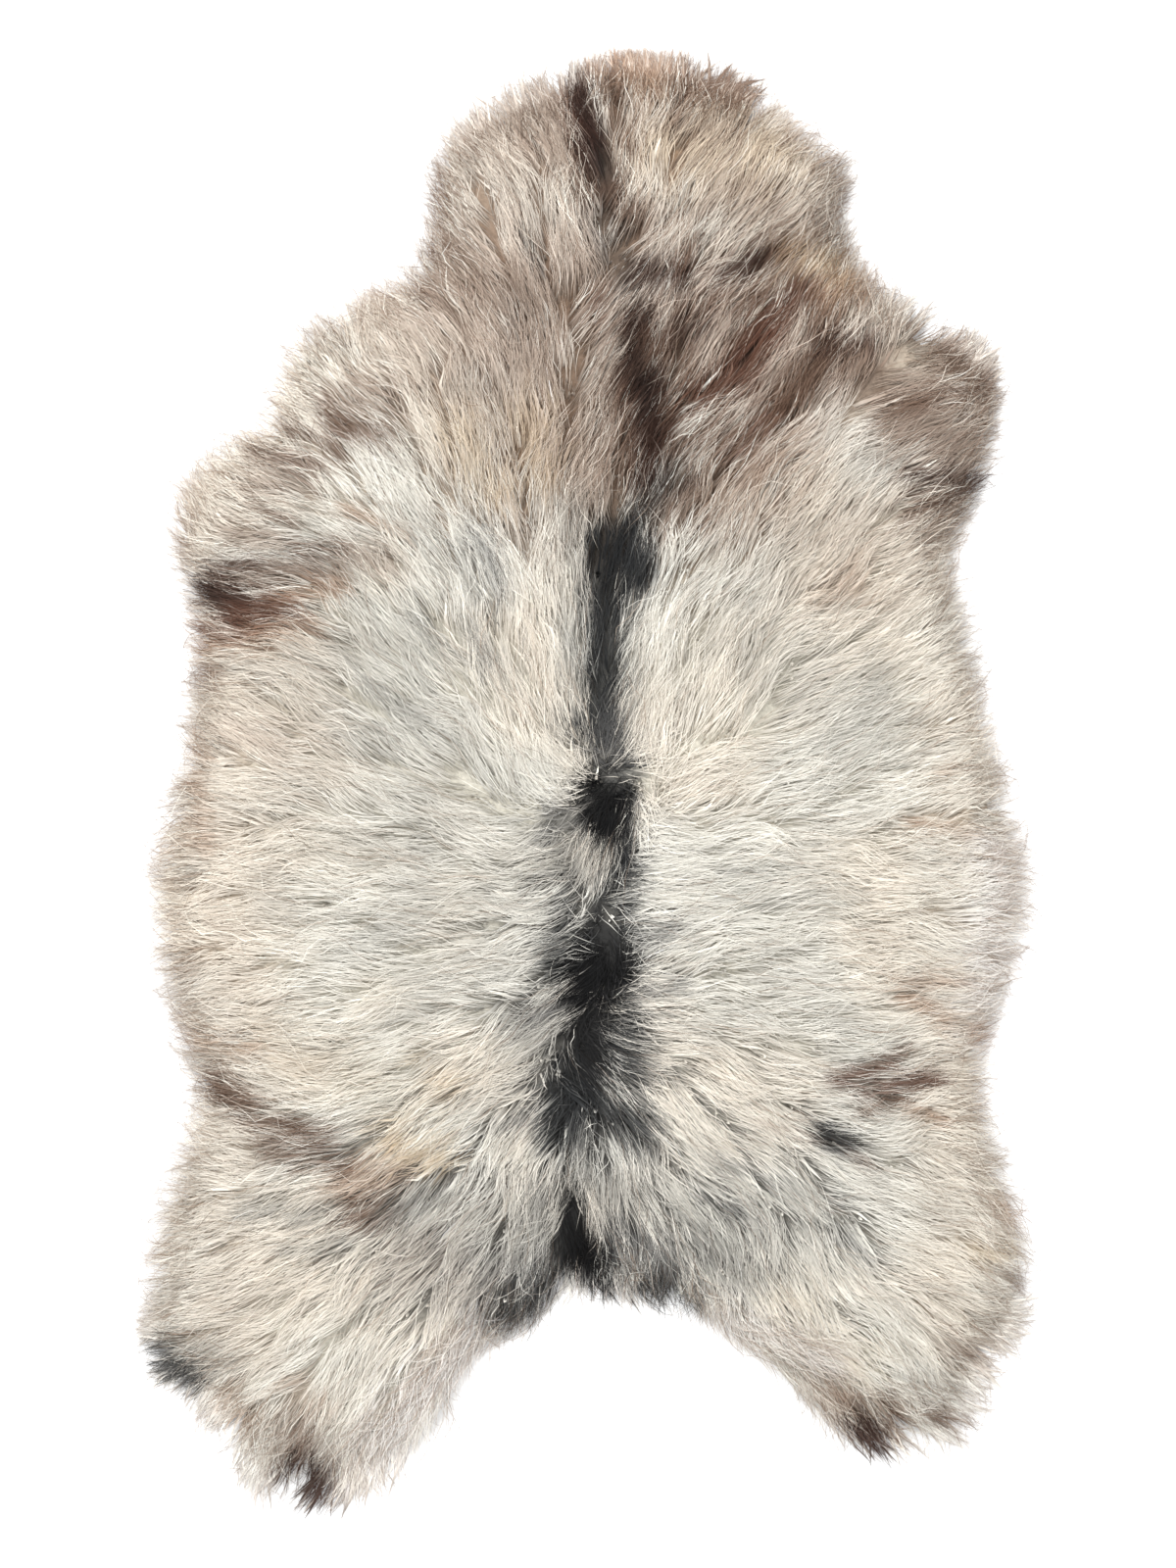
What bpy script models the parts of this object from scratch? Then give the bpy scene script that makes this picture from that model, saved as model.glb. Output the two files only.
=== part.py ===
"""Icelandic sheepskin, laid flat with its wool side up.

The tanned hide is a flat sheet with the pelt's cut outline. The fleece lies on it as a
lumpy slab, and its rim breaks up into pointed locks that reach past the hide and rest
level on the floor. Metres, +Z up, neck towards +Y, the floor at Z = 0.
"""

import math
import random

import bmesh
import bpy
import numpy as np
from mathutils import Vector, noise
from mathutils.geometry import delaunay_2d_cdt

MM = 0.001

# Hide
HIDE_THICKNESS = 2.0 * MM
HIDE_CLEARANCE = 0.3 * MM

# Fleece
CROWN_HEIGHT = 34.0 * MM
SHOULDER_HEIGHT = 13.0 * MM
CROWN_DISTANCE = 95.0 * MM
LATTICE_PITCH = 17.0 * MM
LATTICE_MARGIN = 9.0 * MM

# Locks at the rim: reaches are shares of the way from the hide's edge to the locks' tips,
# and lean and width are shares of the way from one valley to the next
LOCK_PITCH = 16.0 * MM
PITCH_SPREAD = 0.20
SHORTEST_LOCK = 0.78
LOCK_LEAN = 0.22
FLANK_HALF_WIDTH = 0.27
FLANK_REACH = 0.72
VALLEY_REACH = 0.42
VALLEY_FOOT_REACH = 0.14
VALLEY_FOOT_HEIGHT = 9.0 * MM

# Tufts over the slab
TUFT_WIDTH = 34.0 * MM
TUFT_LENGTH = 70.0 * MM
TUFT_STEPS = 7
TUFT_HEIGHT = 9.0 * MM
SWELL_WIDTH = 150.0 * MM
SWELL_HEIGHT = 4.0 * MM
RIM_TUFT_SHARE = 0.35
COMBING_CENTRE = (-4.0 * MM, -38.0 * MM)

SEED = 11
SAMPLES_PER_ROW = 12
HIDE_SAMPLES_PER_ROW = 4
SAME_POINT = 1e-7
WELD_DISTANCE = 1e-6

WOOL_COLOUR = (0.78, 0.73, 0.65, 1.0)
HIDE_COLOUR = (0.80, 0.71, 0.58, 1.0)

# The hide's cut edge, clockwise from the neck. X and Y are its place and reach is how far
# the locks go past it, in millimetres. Heading is the way they lie, in degrees from +X.
RIM_COLUMNS = ("place", "x", "y", "heading", "reach")
RIM = (
    ("neck top", 27, 539, 92, 29),
    ("neck top, right", 97, 521, 72, 29),
    ("cheek, top right", 148, 496, 55, 26),
    ("cheek, right", 185, 469, 35, 26),
    ("cheek, low right", 181, 424, 30, 23),
    ("neck notch, right", 210, 375, 60, 26),
    ("shoulder top, right", 255, 339, 60, 26),
    ("shoulder point, right", 299, 301, 30, 26),
    ("shoulder side, right", 296, 266, 15, 24),
    ("shoulder foot, right", 284, 221, 15, 24),
    ("armpit, right", 266, 175, 20, 19),
    ("ribs, upper right", 279, 110, 30, 21),
    ("ribs, lower right", 291, 53, 20, 21),
    ("flank, upper right", 303, -10, 5, 26),
    ("flank, middle right", 315, -79, 0, 34),
    ("flank, lower right", 306, -140, 0, 29),
    ("waist, right", 287, -235, 0, 23),
    ("hip, upper right", 303, -297, -12, 26),
    ("hip, lower right", 316, -356, -8, 29),
    ("thigh, right", 310, -403, -20, 26),
    ("hock, right", 284, -439, -45, 26),
    ("hind leg side, right", 250, -479, -25, 57),
    ("hind leg tip, right", 208, -476, -62, 68),
    ("hind leg inside, right", 163, -468, -50, 34),
    ("crotch, outer right", 113, -423, -60, 32),
    ("crotch, inner right", 64, -388, -75, 29),
    ("tail, right", 29, -377, -80, 29),
    ("tail tip", -5, -358, -62, 42),
    ("tail, left", -17, -367, -110, 24),
    ("crotch, inner left", -47, -404, -115, 32),
    ("crotch, outer left", -89, -425, -105, 34),
    ("inner wisp, left", -115, -467, -96, 60),
    ("middle wisp, left", -146, -492, -110, 60),
    ("hind leg tip, left", -200, -512, -108, 57),
    ("outer wisp, left", -256, -493, -102, 64),
    ("hind leg outside, left", -283, -461, -130, 30),
    ("hock, left", -321, -442, -155, 24),
    ("thigh, left", -329, -398, -172, 24),
    ("hip, lower left", -323, -355, -178, 27),
    ("hip, upper left", -306, -298, -178, 27),
    ("waist, left", -291, -246, 180, 23),
    ("flank, lower left", -305, -188, 178, 26),
    ("flank, middle left", -317, -140, 180, 27),
    ("flank, upper left", -321, -76, 180, 30),
    ("ribs, lower left", -308, -7, 178, 27),
    ("ribs, upper left", -296, 50, 172, 24),
    ("armpit, left", -297, 110, 170, 23),
    ("elbow, left", -298, 157, 168, 26),
    ("shoulder foot, left", -313, 185, 140, 30),
    ("shoulder side, left", -292, 232, 125, 32),
    ("shoulder point, left", -238, 273, 130, 34),
    ("shoulder top, left", -222, 328, 125, 34),
    ("neck notch, lower left", -179, 354, 118, 29),
    ("neck notch, upper left", -129, 387, 130, 26),
    ("neck side, left", -113, 437, 145, 24),
    ("cheek, left", -108, 475, 130, 26),
    ("cheek, top left", -60, 508, 118, 26),
    ("neck top, left", -16, 522, 105, 27),
)

# Partings and creases where the fleece dips, from end to end, and mounds where it rises
# (a negative depth), all in millimetres.
HOLLOW_COLUMNS = ("place", "x0", "y0", "x1", "y1", "depth", "half_width")
HOLLOWS = (
    ("neck parting", -15, 520, 26, 431, 4, 15),
    ("back parting", 22, 200, 8, -60, 7, 17),
    ("rump parting", 0, -80, -4, -340, 6, 20),
    ("cross parting", -75, -23, 72, -26, 5, 12),
    ("shoulder fold, right", 64, 303, 148, 371, 5, 15),
    ("shoulder crease, right", 200, 300, 296, 225, 4, 20),
    ("elbow crease, left", -290, 146, -225, 155, 6, 16),
    ("hip crease, left", -300, -204, -208, -295, 9, 17),
    ("thigh crease, left", -200, -300, -130, -320, 5, 15),
    ("hip hollow, right", 178, -269, 215, -297, 9, 18),
    ("waist crease, right", 200, -235, 269, -219, 5, 15),
    ("flank curls, right", 255, -26, 285, -30, -5, 20),
)

# How each lock stands over the floor along its ridge, from its root towards its tip.
RIDGE = (
    # reach, height in millimetres
    (0.16, 12.5),
    (0.48, 9.0),
    (0.80, 4.5),
)


def column(table, columns, name, scale=1.0):
    """One column of a table as an array."""
    return np.array([row[columns.index(name)] for row in table], float) * scale


def closed_spline(rows, samples):
    """A closed Catmull-Rom curve through the rows, with the same number of samples in each span."""
    before, start, end, after = (np.roll(rows, shift, axis=0)[:, None] for shift in (1, 0, -1, -2))
    t = (np.arange(samples) / samples)[None, :, None]
    curve = 0.5 * (
        2 * start
        + (end - before) * t
        + (2 * before - 5 * start + 4 * end - after) * t**2
        + (3 * start - before - 3 * end + after) * t**3
    )
    return curve.reshape(-1, rows.shape[1])


def rim_rows():
    """The hide's edge and the locks' tips at each row of the table, as two arrays of points."""
    edge = np.stack([column(RIM, RIM_COLUMNS, axis, MM) for axis in "xy"], axis=1)
    heading = np.radians(column(RIM, RIM_COLUMNS, "heading"))
    reach = column(RIM, RIM_COLUMNS, "reach", MM)
    tips = edge + reach[:, None] * np.stack([np.cos(heading), np.sin(heading)], axis=1)
    return edge, tips


def rim_strip():
    """The band between the hide's edge and the locks' tips: a closed curve of edge and tip points."""
    edge, tips = rim_rows()
    return closed_spline(np.hstack([edge, tips]), SAMPLES_PER_ROW)


def strip_point(strip, place, reach):
    """A point of the band: place counts samples round the rim, reach runs from edge, 0, to tips, 1."""
    count = len(strip)
    low = math.floor(place)
    share = place - low
    row = strip[low % count] * (1 - share) + strip[(low + 1) % count] * share
    return row[:2] * (1 - reach) + row[2:] * reach


def lock_places(strip, draw):
    """Where the valleys stand round the rim, about a lock's pitch apart along the valley line."""
    line = strip[:, :2] * (1 - VALLEY_REACH) + strip[:, 2:] * VALLEY_REACH
    steps = np.linalg.norm(np.roll(line, -1, axis=0) - line, axis=1)
    lengths = np.concatenate([[0.0], np.cumsum(steps)])
    count = round(lengths[-1] / LOCK_PITCH)
    spread = [draw.uniform(-PITCH_SPREAD, PITCH_SPREAD) for _ in range(count)]
    wanted = (np.arange(count) + PITCH_SPREAD + spread) * lengths[-1] / count
    return np.interp(wanted, lengths, np.arange(len(lengths)))


def lock_points(strip):
    """Three lists: the rim's outline, lock by lock; the raised points on the ridges and at the
    valleys' feet, with their heights; and each lock's ridge, as the places of its raised points
    and of its tip in those lists."""
    draw = random.Random(SEED)
    places = lock_places(strip, draw)
    ends = np.append(places[1:], places[0] + len(strip))
    outline = []
    raised = []
    ridges = []
    for start, end in zip(places, ends):
        width = end - start
        middle = start + width / 2
        lean = draw.uniform(-LOCK_LEAN, LOCK_LEAN) * width
        tip_reach = draw.uniform(SHORTEST_LOCK, 1.0)
        flank_middle = middle + lean / 2
        flank_width = FLANK_HALF_WIDTH * width
        outline.append(strip_point(strip, start, VALLEY_REACH))
        outline.append(strip_point(strip, flank_middle - flank_width, FLANK_REACH * tip_reach))
        outline.append(strip_point(strip, middle + lean, tip_reach))
        outline.append(strip_point(strip, flank_middle + flank_width, FLANK_REACH * tip_reach))
        raised.append((strip_point(strip, start, VALLEY_FOOT_REACH), VALLEY_FOOT_HEIGHT))
        first = len(raised)
        for reach, height in RIDGE:
            point = strip_point(strip, middle + lean * reach, reach * tip_reach)
            raised.append((point, height * MM))
        ridges.append((range(first, len(raised)), len(outline) - 2))
    return np.array(outline), raised, ridges


def inside(points, outline):
    """Which points lie inside a closed outline: a ray towards +X crosses it an odd number of times."""
    x, y = points[:, 0, None], points[:, 1, None]
    x0, y0 = outline[:, 0], outline[:, 1]
    x1, y1 = np.roll(x0, -1), np.roll(y0, -1)
    spans = (y0 > y) != (y1 > y)
    rise = np.where(y1 == y0, 1.0, y1 - y0)
    crossing = x0 + (y - y0) / rise * (x1 - x0)
    return (spans & (x < crossing)).sum(axis=1) % 2 == 1


def distance_to(points, line):
    """How far each point is from the nearest point of a finely sampled line."""
    return np.linalg.norm(points[:, None] - line[None], axis=2).min(axis=1)


def slab_lattice(edge_line):
    """A triangular lattice of points inside the hide's edge, a margin away from it."""
    low, high = edge_line.min(axis=0), edge_line.max(axis=0)
    row_pitch = LATTICE_PITCH * math.sin(math.radians(60))
    rows = np.arange(low[1], high[1], row_pitch)
    columns = np.arange(low[0], high[0], LATTICE_PITCH)
    x, y = np.meshgrid(columns, rows)
    x[1::2] += LATTICE_PITCH / 2
    points = np.stack([x.ravel(), y.ravel()], axis=1)
    points = points[inside(points, edge_line)]
    return points[distance_to(points, edge_line) > LATTICE_MARGIN]


def hollow_depth(point):
    """How far the partings and creases press the fleece down at a point."""
    depth = 0.0
    for row in HOLLOWS:
        hollow = dict(zip(HOLLOW_COLUMNS, row))
        start = Vector((hollow["x0"], hollow["y0"])) * MM
        along = Vector((hollow["x1"], hollow["y1"])) * MM - start
        share = min(max((point - start).dot(along) / along.length_squared, 0.0), 1.0)
        away = (point - start - along * share).length / (hollow["half_width"] * MM)
        depth += hollow["depth"] * MM * math.exp(-away * away)
    return depth


def tuft_height(point):
    """Lumps drawn out along the combing, which runs outwards from the middle of the back."""
    combing = (point - Vector(COMBING_CENTRE)).normalized()
    total = 0.0
    for step in range(TUFT_STEPS):
        offset = (step / (TUFT_STEPS - 1) - 0.5) * TUFT_LENGTH
        place = (point + combing * offset) / TUFT_WIDTH
        total += noise.noise((place.x, place.y, SEED))
    swell = noise.noise((point.x / SWELL_WIDTH, point.y / SWELL_WIDTH, -SEED))
    return TUFT_HEIGHT * total / math.sqrt(TUFT_STEPS) + SWELL_HEIGHT * swell


def slab_height(point, inward):
    """The fleece's height at a distance inward from the hide's edge."""
    share = min(inward / CROWN_DISTANCE, 1.0)
    rise = math.sin(share * math.pi / 2)
    height = SHOULDER_HEIGHT + (CROWN_HEIGHT - SHOULDER_HEIGHT) * rise
    tufting = RIM_TUFT_SHARE + (1 - RIM_TUFT_SHARE) * rise
    return height + tufting * (tuft_height(point) - hollow_depth(point))


def fleece_mesh(name):
    """The fleece as one closed mesh: a top that meets the floor along the rim, and one flat underside."""
    strip = rim_strip()
    outline, raised, ridges = lock_points(strip)
    lattice = slab_lattice(strip[:, :2])
    inward = distance_to(lattice, strip[:, :2])
    plan = [Vector(point) for point in outline]
    heights = [0.0] * len(outline)
    for point, height in raised:
        plan.append(Vector(point))
        heights.append(height)
    for point, distance in zip(lattice, inward):
        plan.append(Vector(point))
        heights.append(slab_height(Vector(point), distance))
    count = len(outline)
    border = [(i, (i + 1) % count) for i in range(count)]
    ridge_lines = []
    for steps, tip in ridges:
        line = [count + step for step in steps] + [tip]
        ridge_lines += zip(line, line[1:])
    only_inside = 1
    lines = border + ridge_lines
    flat, _, triangles, sources, _, _ = delaunay_2d_cdt(plan, lines, [], only_inside, SAME_POINT)
    if len(flat) != len(plan):
        raise ValueError(f"{name}: two locks cross each other")
    bm = bmesh.new()
    for point, source in zip(flat, sources):
        bm.verts.new((point.x, point.y, heights[source[0]]))
    bm.verts.ensure_lookup_table()
    for triangle in triangles:
        bm.faces.new([bm.verts[i] for i in triangle])
    order = {source[0]: i for i, source in enumerate(sources)}
    bm.faces.new([bm.verts[order[i]] for i in range(count)])
    bmesh.ops.recalc_face_normals(bm, faces=bm.faces)
    mesh = bpy.data.meshes.new(name)
    bm.to_mesh(mesh)
    bm.free()
    return mesh


def hide_outline():
    """The hide's cut edge as points."""
    edge, _ = rim_rows()
    return closed_spline(edge, HIDE_SAMPLES_PER_ROW)


def widened(outline, distance):
    """The outline moved outwards along its normals."""
    tangent = np.roll(outline, -1, axis=0) - np.roll(outline, 1, axis=0)
    tangent /= np.linalg.norm(tangent, axis=1)[:, None]
    outwards = np.stack([-tangent[:, 1], tangent[:, 0]], axis=1)
    return outline + outwards * distance


def flat_curve(name, outline, thickness):
    """A flat piece: a filled 2D curve, extruded both ways to its thickness."""
    curve = bpy.data.curves.new(name, "CURVE")
    curve.dimensions = "2D"
    curve.fill_mode = "BOTH"
    curve.extrude = thickness / 2
    spline = curve.splines.new("POLY")
    spline.points.add(len(outline) - 1)
    for target, (x, y) in zip(spline.points, outline):
        target.co = (x, y, 0.0, 1.0)
    spline.use_cyclic_u = True
    return bpy.data.objects.new(name, curve)


def curve_to_mesh(obj):
    """The curve's solid as a mesh object with its caps welded, in place of the curve."""
    evaluated = obj.evaluated_get(bpy.context.evaluated_depsgraph_get())
    mesh = bpy.data.meshes.new_from_object(evaluated)
    bm = bmesh.new()
    bm.from_mesh(mesh)
    bmesh.ops.remove_doubles(bm, verts=bm.verts, dist=WELD_DISTANCE)
    bmesh.ops.recalc_face_normals(bm, faces=bm.faces)
    bm.to_mesh(mesh)
    bm.free()
    name = obj.name
    solid = bpy.data.objects.new(name, mesh)
    solid.matrix_world = obj.matrix_world
    for collection in obj.users_collection:
        collection.objects.link(solid)
    bpy.data.objects.remove(obj)
    solid.name = name
    return solid


def material(name, colour, roughness):
    """A plain Principled material."""
    made = bpy.data.materials.new(name)
    made.use_nodes = True
    shader = made.node_tree.nodes["Principled BSDF"]
    shader.inputs["Base Color"].default_value = colour
    shader.inputs["Roughness"].default_value = roughness
    shader.inputs["Metallic"].default_value = 0.0
    made.diffuse_color = colour
    return made


def new_collection(name):
    """A collection in the scene."""
    made = bpy.data.collections.new(name)
    bpy.context.scene.collection.children.link(made)
    return made


def make_hide(parts):
    """The tanned skin, flat on the floor."""
    hide = flat_curve("hide", hide_outline(), HIDE_THICKNESS)
    hide.location.z = HIDE_THICKNESS / 2
    hide.data.materials.append(material("tanned_hide", HIDE_COLOUR, 0.85))
    parts.objects.link(hide)
    return hide


def make_hide_recess(cutters):
    """The space that the hide takes up under the fleece, a clearance larger all round."""
    below = 10 * HIDE_THICKNESS
    above = HIDE_THICKNESS + HIDE_CLEARANCE
    recess = flat_curve("hide_recess", widened(hide_outline(), HIDE_CLEARANCE), above + below)
    recess.location.z = (above - below) / 2
    cutters.objects.link(recess)
    bpy.context.view_layer.update()
    recess = curve_to_mesh(recess)
    recess.hide_render = True
    recess.display_type = "WIRE"
    return recess


def make_fleece(parts, recess):
    """The wool: slab and rim locks, with the hide let into its underside."""
    fleece = bpy.data.objects.new("fleece", fleece_mesh("fleece"))
    fleece.data.materials.append(material("long_wool", WOOL_COLOUR, 0.9))
    parts.objects.link(fleece)
    cut = fleece.modifiers.new("hide_recess", "BOOLEAN")
    cut.operation = "DIFFERENCE"
    cut.solver = "EXACT"
    cut.object = recess
    return fleece


def centre_on_floor(parts, cutters, fleece, others):
    """Parents all the pieces to an empty that puts the middle of the fleece's plan at the origin."""
    corners = np.array([vertex.co[:2] for vertex in fleece.data.vertices])
    middle = (corners.min(axis=0) + corners.max(axis=0)) / 2
    base = bpy.data.objects.new("sheepskin_base", None)
    base.location = (-middle[0], -middle[1], 0.0)
    parts.objects.link(base)
    for obj in (fleece, *others):
        obj.parent = base


def main():
    for obj in list(bpy.data.objects):
        bpy.data.objects.remove(obj)
    parts = new_collection("icelandic_sheepskin")
    cutters = new_collection("cutters")
    hide = make_hide(parts)
    recess = make_hide_recess(cutters)
    fleece = make_fleece(parts, recess)
    centre_on_floor(parts, cutters, fleece, (hide, recess))


main()
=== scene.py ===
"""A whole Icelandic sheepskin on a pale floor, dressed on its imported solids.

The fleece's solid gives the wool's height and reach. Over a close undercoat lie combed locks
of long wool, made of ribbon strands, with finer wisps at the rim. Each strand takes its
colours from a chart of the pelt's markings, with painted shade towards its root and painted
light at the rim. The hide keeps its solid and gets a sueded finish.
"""

import functools
import math

import bpy
import numpy as np
from bpy.props import FloatProperty, FloatVectorProperty, IntProperty, PointerProperty
from mathutils import Matrix, Vector
from mathutils.bvhtree import BVHTree


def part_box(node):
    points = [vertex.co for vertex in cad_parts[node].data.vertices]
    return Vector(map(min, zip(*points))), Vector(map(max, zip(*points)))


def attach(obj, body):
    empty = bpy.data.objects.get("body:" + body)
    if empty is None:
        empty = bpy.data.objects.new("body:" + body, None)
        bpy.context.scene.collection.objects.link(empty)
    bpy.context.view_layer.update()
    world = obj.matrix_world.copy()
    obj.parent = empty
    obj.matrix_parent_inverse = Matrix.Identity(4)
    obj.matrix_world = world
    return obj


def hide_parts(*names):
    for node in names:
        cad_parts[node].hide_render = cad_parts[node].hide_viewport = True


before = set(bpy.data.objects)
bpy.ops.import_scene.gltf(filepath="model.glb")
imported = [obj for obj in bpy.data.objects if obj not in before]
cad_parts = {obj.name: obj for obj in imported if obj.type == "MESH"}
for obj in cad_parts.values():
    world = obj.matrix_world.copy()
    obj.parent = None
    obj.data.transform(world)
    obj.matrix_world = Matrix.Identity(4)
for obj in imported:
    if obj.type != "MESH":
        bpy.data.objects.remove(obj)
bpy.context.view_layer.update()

bl_info = {
    "name": "Combed Sheepskin",
    "version": (1, 0, 0),
    "blender": (4, 5, 0),
    "location": "3D View > Sidebar > Sheepskin",
    "description": "Grows the undercoat, combed locks and rim wisps of a sheepskin and sueds its hide",
    "category": "Add Mesh",
}

MM = 0.001
HIDE_LOW, HIDE_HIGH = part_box("hide")
FLEECE_LOW, FLEECE_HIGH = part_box("fleece")
FLEECE_MIDDLE = (np.array(FLEECE_LOW[:2]) + np.array(FLEECE_HIGH[:2])) / 2
FLEECE_HALF = (np.array(FLEECE_HIGH[:2]) - np.array(FLEECE_LOW[:2])) / 2

# The photograph looks straight down. Charts give places in its pixels, and these values
# carry them to the pelt: the real size of a pixel, and the pixels of the pelt's origin
# and of the picture's middle.
PIXEL = 0.7566 * MM
ORIGIN_PIXEL = (603.6, 799.9)
MIDDLE_PIXEL = (600.0, 800.0)
PICTURE_HEIGHT = 1600 * PIXEL

# Each random draw starts from this seed plus a number of its own.
SEED = 20
POINTS_AT_ONCE = 4000

# Grids over the plan: the cell of the fleece's height and footprint, and the rounds in which
# the height, the sharp footprint and the soft one are smoothed
PLAN_CELL = 2.5 * MM
HEIGHT_ROUNDS, SHARP_ROUNDS, SOFT_ROUNDS = 18, 2, 60

# The combing between charted headings: the reach of each heading, the pull outwards from the
# middle of the back, and the random sway, coarse and fine
COMBING_CELL = 10.0 * MM
COMBING_SPREAD = 34.0 * MM
COMBING_MIDDLE = (620, 850)
OUTWARD_PULL = 0.02
COMBING_SWAY = 0.32
SWAY_COARSE, SWAY_FINE = 60 * MM, 26 * MM

# Locks and strands: a lock's length, the strands that fill thin places, how far past the
# solids' box a strand may end, and how far above the floor the wool stays
LOCK_LENGTH = 66 * MM
LOCK_STEPS = 8
FILLING_SHARE = 0.07
ENOUGH_COVER = 0.8
RIM_SPARE = 6.0 * MM
SHORTEST_SHARE = 0.08
FLOOR_CLEARANCE = 0.4 * MM

# The longest tips: how far ahead of a root its tip is looked for, and how near to a charted tip
TIP_AHEAD = 55 * MM
TIP_REACH = 38 * MM

# The softened footprint's values where strands end: the least for any strand, what the longest
# tips take off that, and how far a lock shifts the value for its strands and for its wisps
LEAST_FLOOR, LEAST_DROP = 0.03, 0.027
LOCK_SHARE, WISP_SHARE = 0.11, 0.03

# What a stray strand, drawn to fill a thin place, loses or gains at most
WILD = {"shorter": 0.6, "looser": 0.7, "turn": 0.9, "lower": 0.12}

# What a strand at one of the longest tips loses or gains at most
FAR = {"longer": 0.5, "closer": 0.35, "straighter": 0.6, "kept": 0.75, "wisp_least": 0.9}

# How much strands curl, in radians: everywhere, and more towards the rim
CURL, RIM_CURL = 0.14, 0.7

# The gaps beside and above a ribbon in its cell of the colour map, as shares of the cell
RIBBON_GAPS = (0.2, 0.08)

# The undercoat: how its rings crowd, the slope at its edge, the share of its reach past which
# it lies just above the floor, its crimp, its height above the hide on top and its gap below
RING_POWER = 1.3
EDGE_SLOPE = 12 * MM
EDGE_SHARE = 0.999
CRIMP_PITCH, CRIMP_HEIGHT = 5 * MM, 3 * MM
UNDERCOAT_RISE = 1 * MM
HIDE_GAP = 0.25 * MM

# How a strand's chart place drifts along and across it, in millimetres: by strand and by lock
STRAND_DRIFT = np.array([4.5, 1.0])
LOCK_DRIFT = np.array([3.0, 1.5])

# How far the edges of markings and the tone stray, by strand and by lock
STRAND_EDGE, LOCK_EDGE = 0.60, 0.30
STRAND_TONE, LOCK_TONE = 0.09, 0.03

# How grey strands get at most, how pale painted light makes the rim, the light above which wool
# is too white for brown tips, and the weights of red, green and blue in that light
GREY_SHARE = 0.45
RIM_PAINTED_LIGHT = 0.3
WHITE_LIGHT = 0.9
BRIGHTNESS = np.array([0.2, 0.7, 0.1])

# The studio: floor, light and camera
FLOOR_SIZE = 12.0
FLOOR_TONE = (0.94, 0.94, 0.94, 1.0)
FLOOR_DROP = 0.2 * MM
LIGHT_PLACE = (-1.1, 1.5, 2.4)
LIGHT_SIZE = 1.4
SENSOR_WIDTH = 36.0

# Tones of the wool and the hide, as seen on a screen, 0 to 1
TONES = {
    "snow": (0.975, 0.960, 0.945),
    "ivory": (0.905, 0.893, 0.858),
    "oat": (0.870, 0.830, 0.775),
    "cream": (0.915, 0.885, 0.835),
    "beige": (0.720, 0.655, 0.600),
    "taupe": (0.600, 0.530, 0.475),
    "tip brown": (0.480, 0.370, 0.320),
    "umber": (0.400, 0.310, 0.255),
    "dark brown": (0.200, 0.130, 0.105),
    "red brown": (0.350, 0.235, 0.185),
    "rust": (0.620, 0.490, 0.395),
    "sand": (0.820, 0.725, 0.590),
    "pearl": (0.870, 0.860, 0.830),
    "stone": (0.810, 0.765, 0.710),
    "silver": (0.740, 0.728, 0.695),
    "grey": (0.560, 0.552, 0.528),
    "slate": (0.336, 0.334, 0.332),
    "charcoal": (0.150, 0.155, 0.160),
    "black": (0.060, 0.060, 0.064),
}

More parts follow.
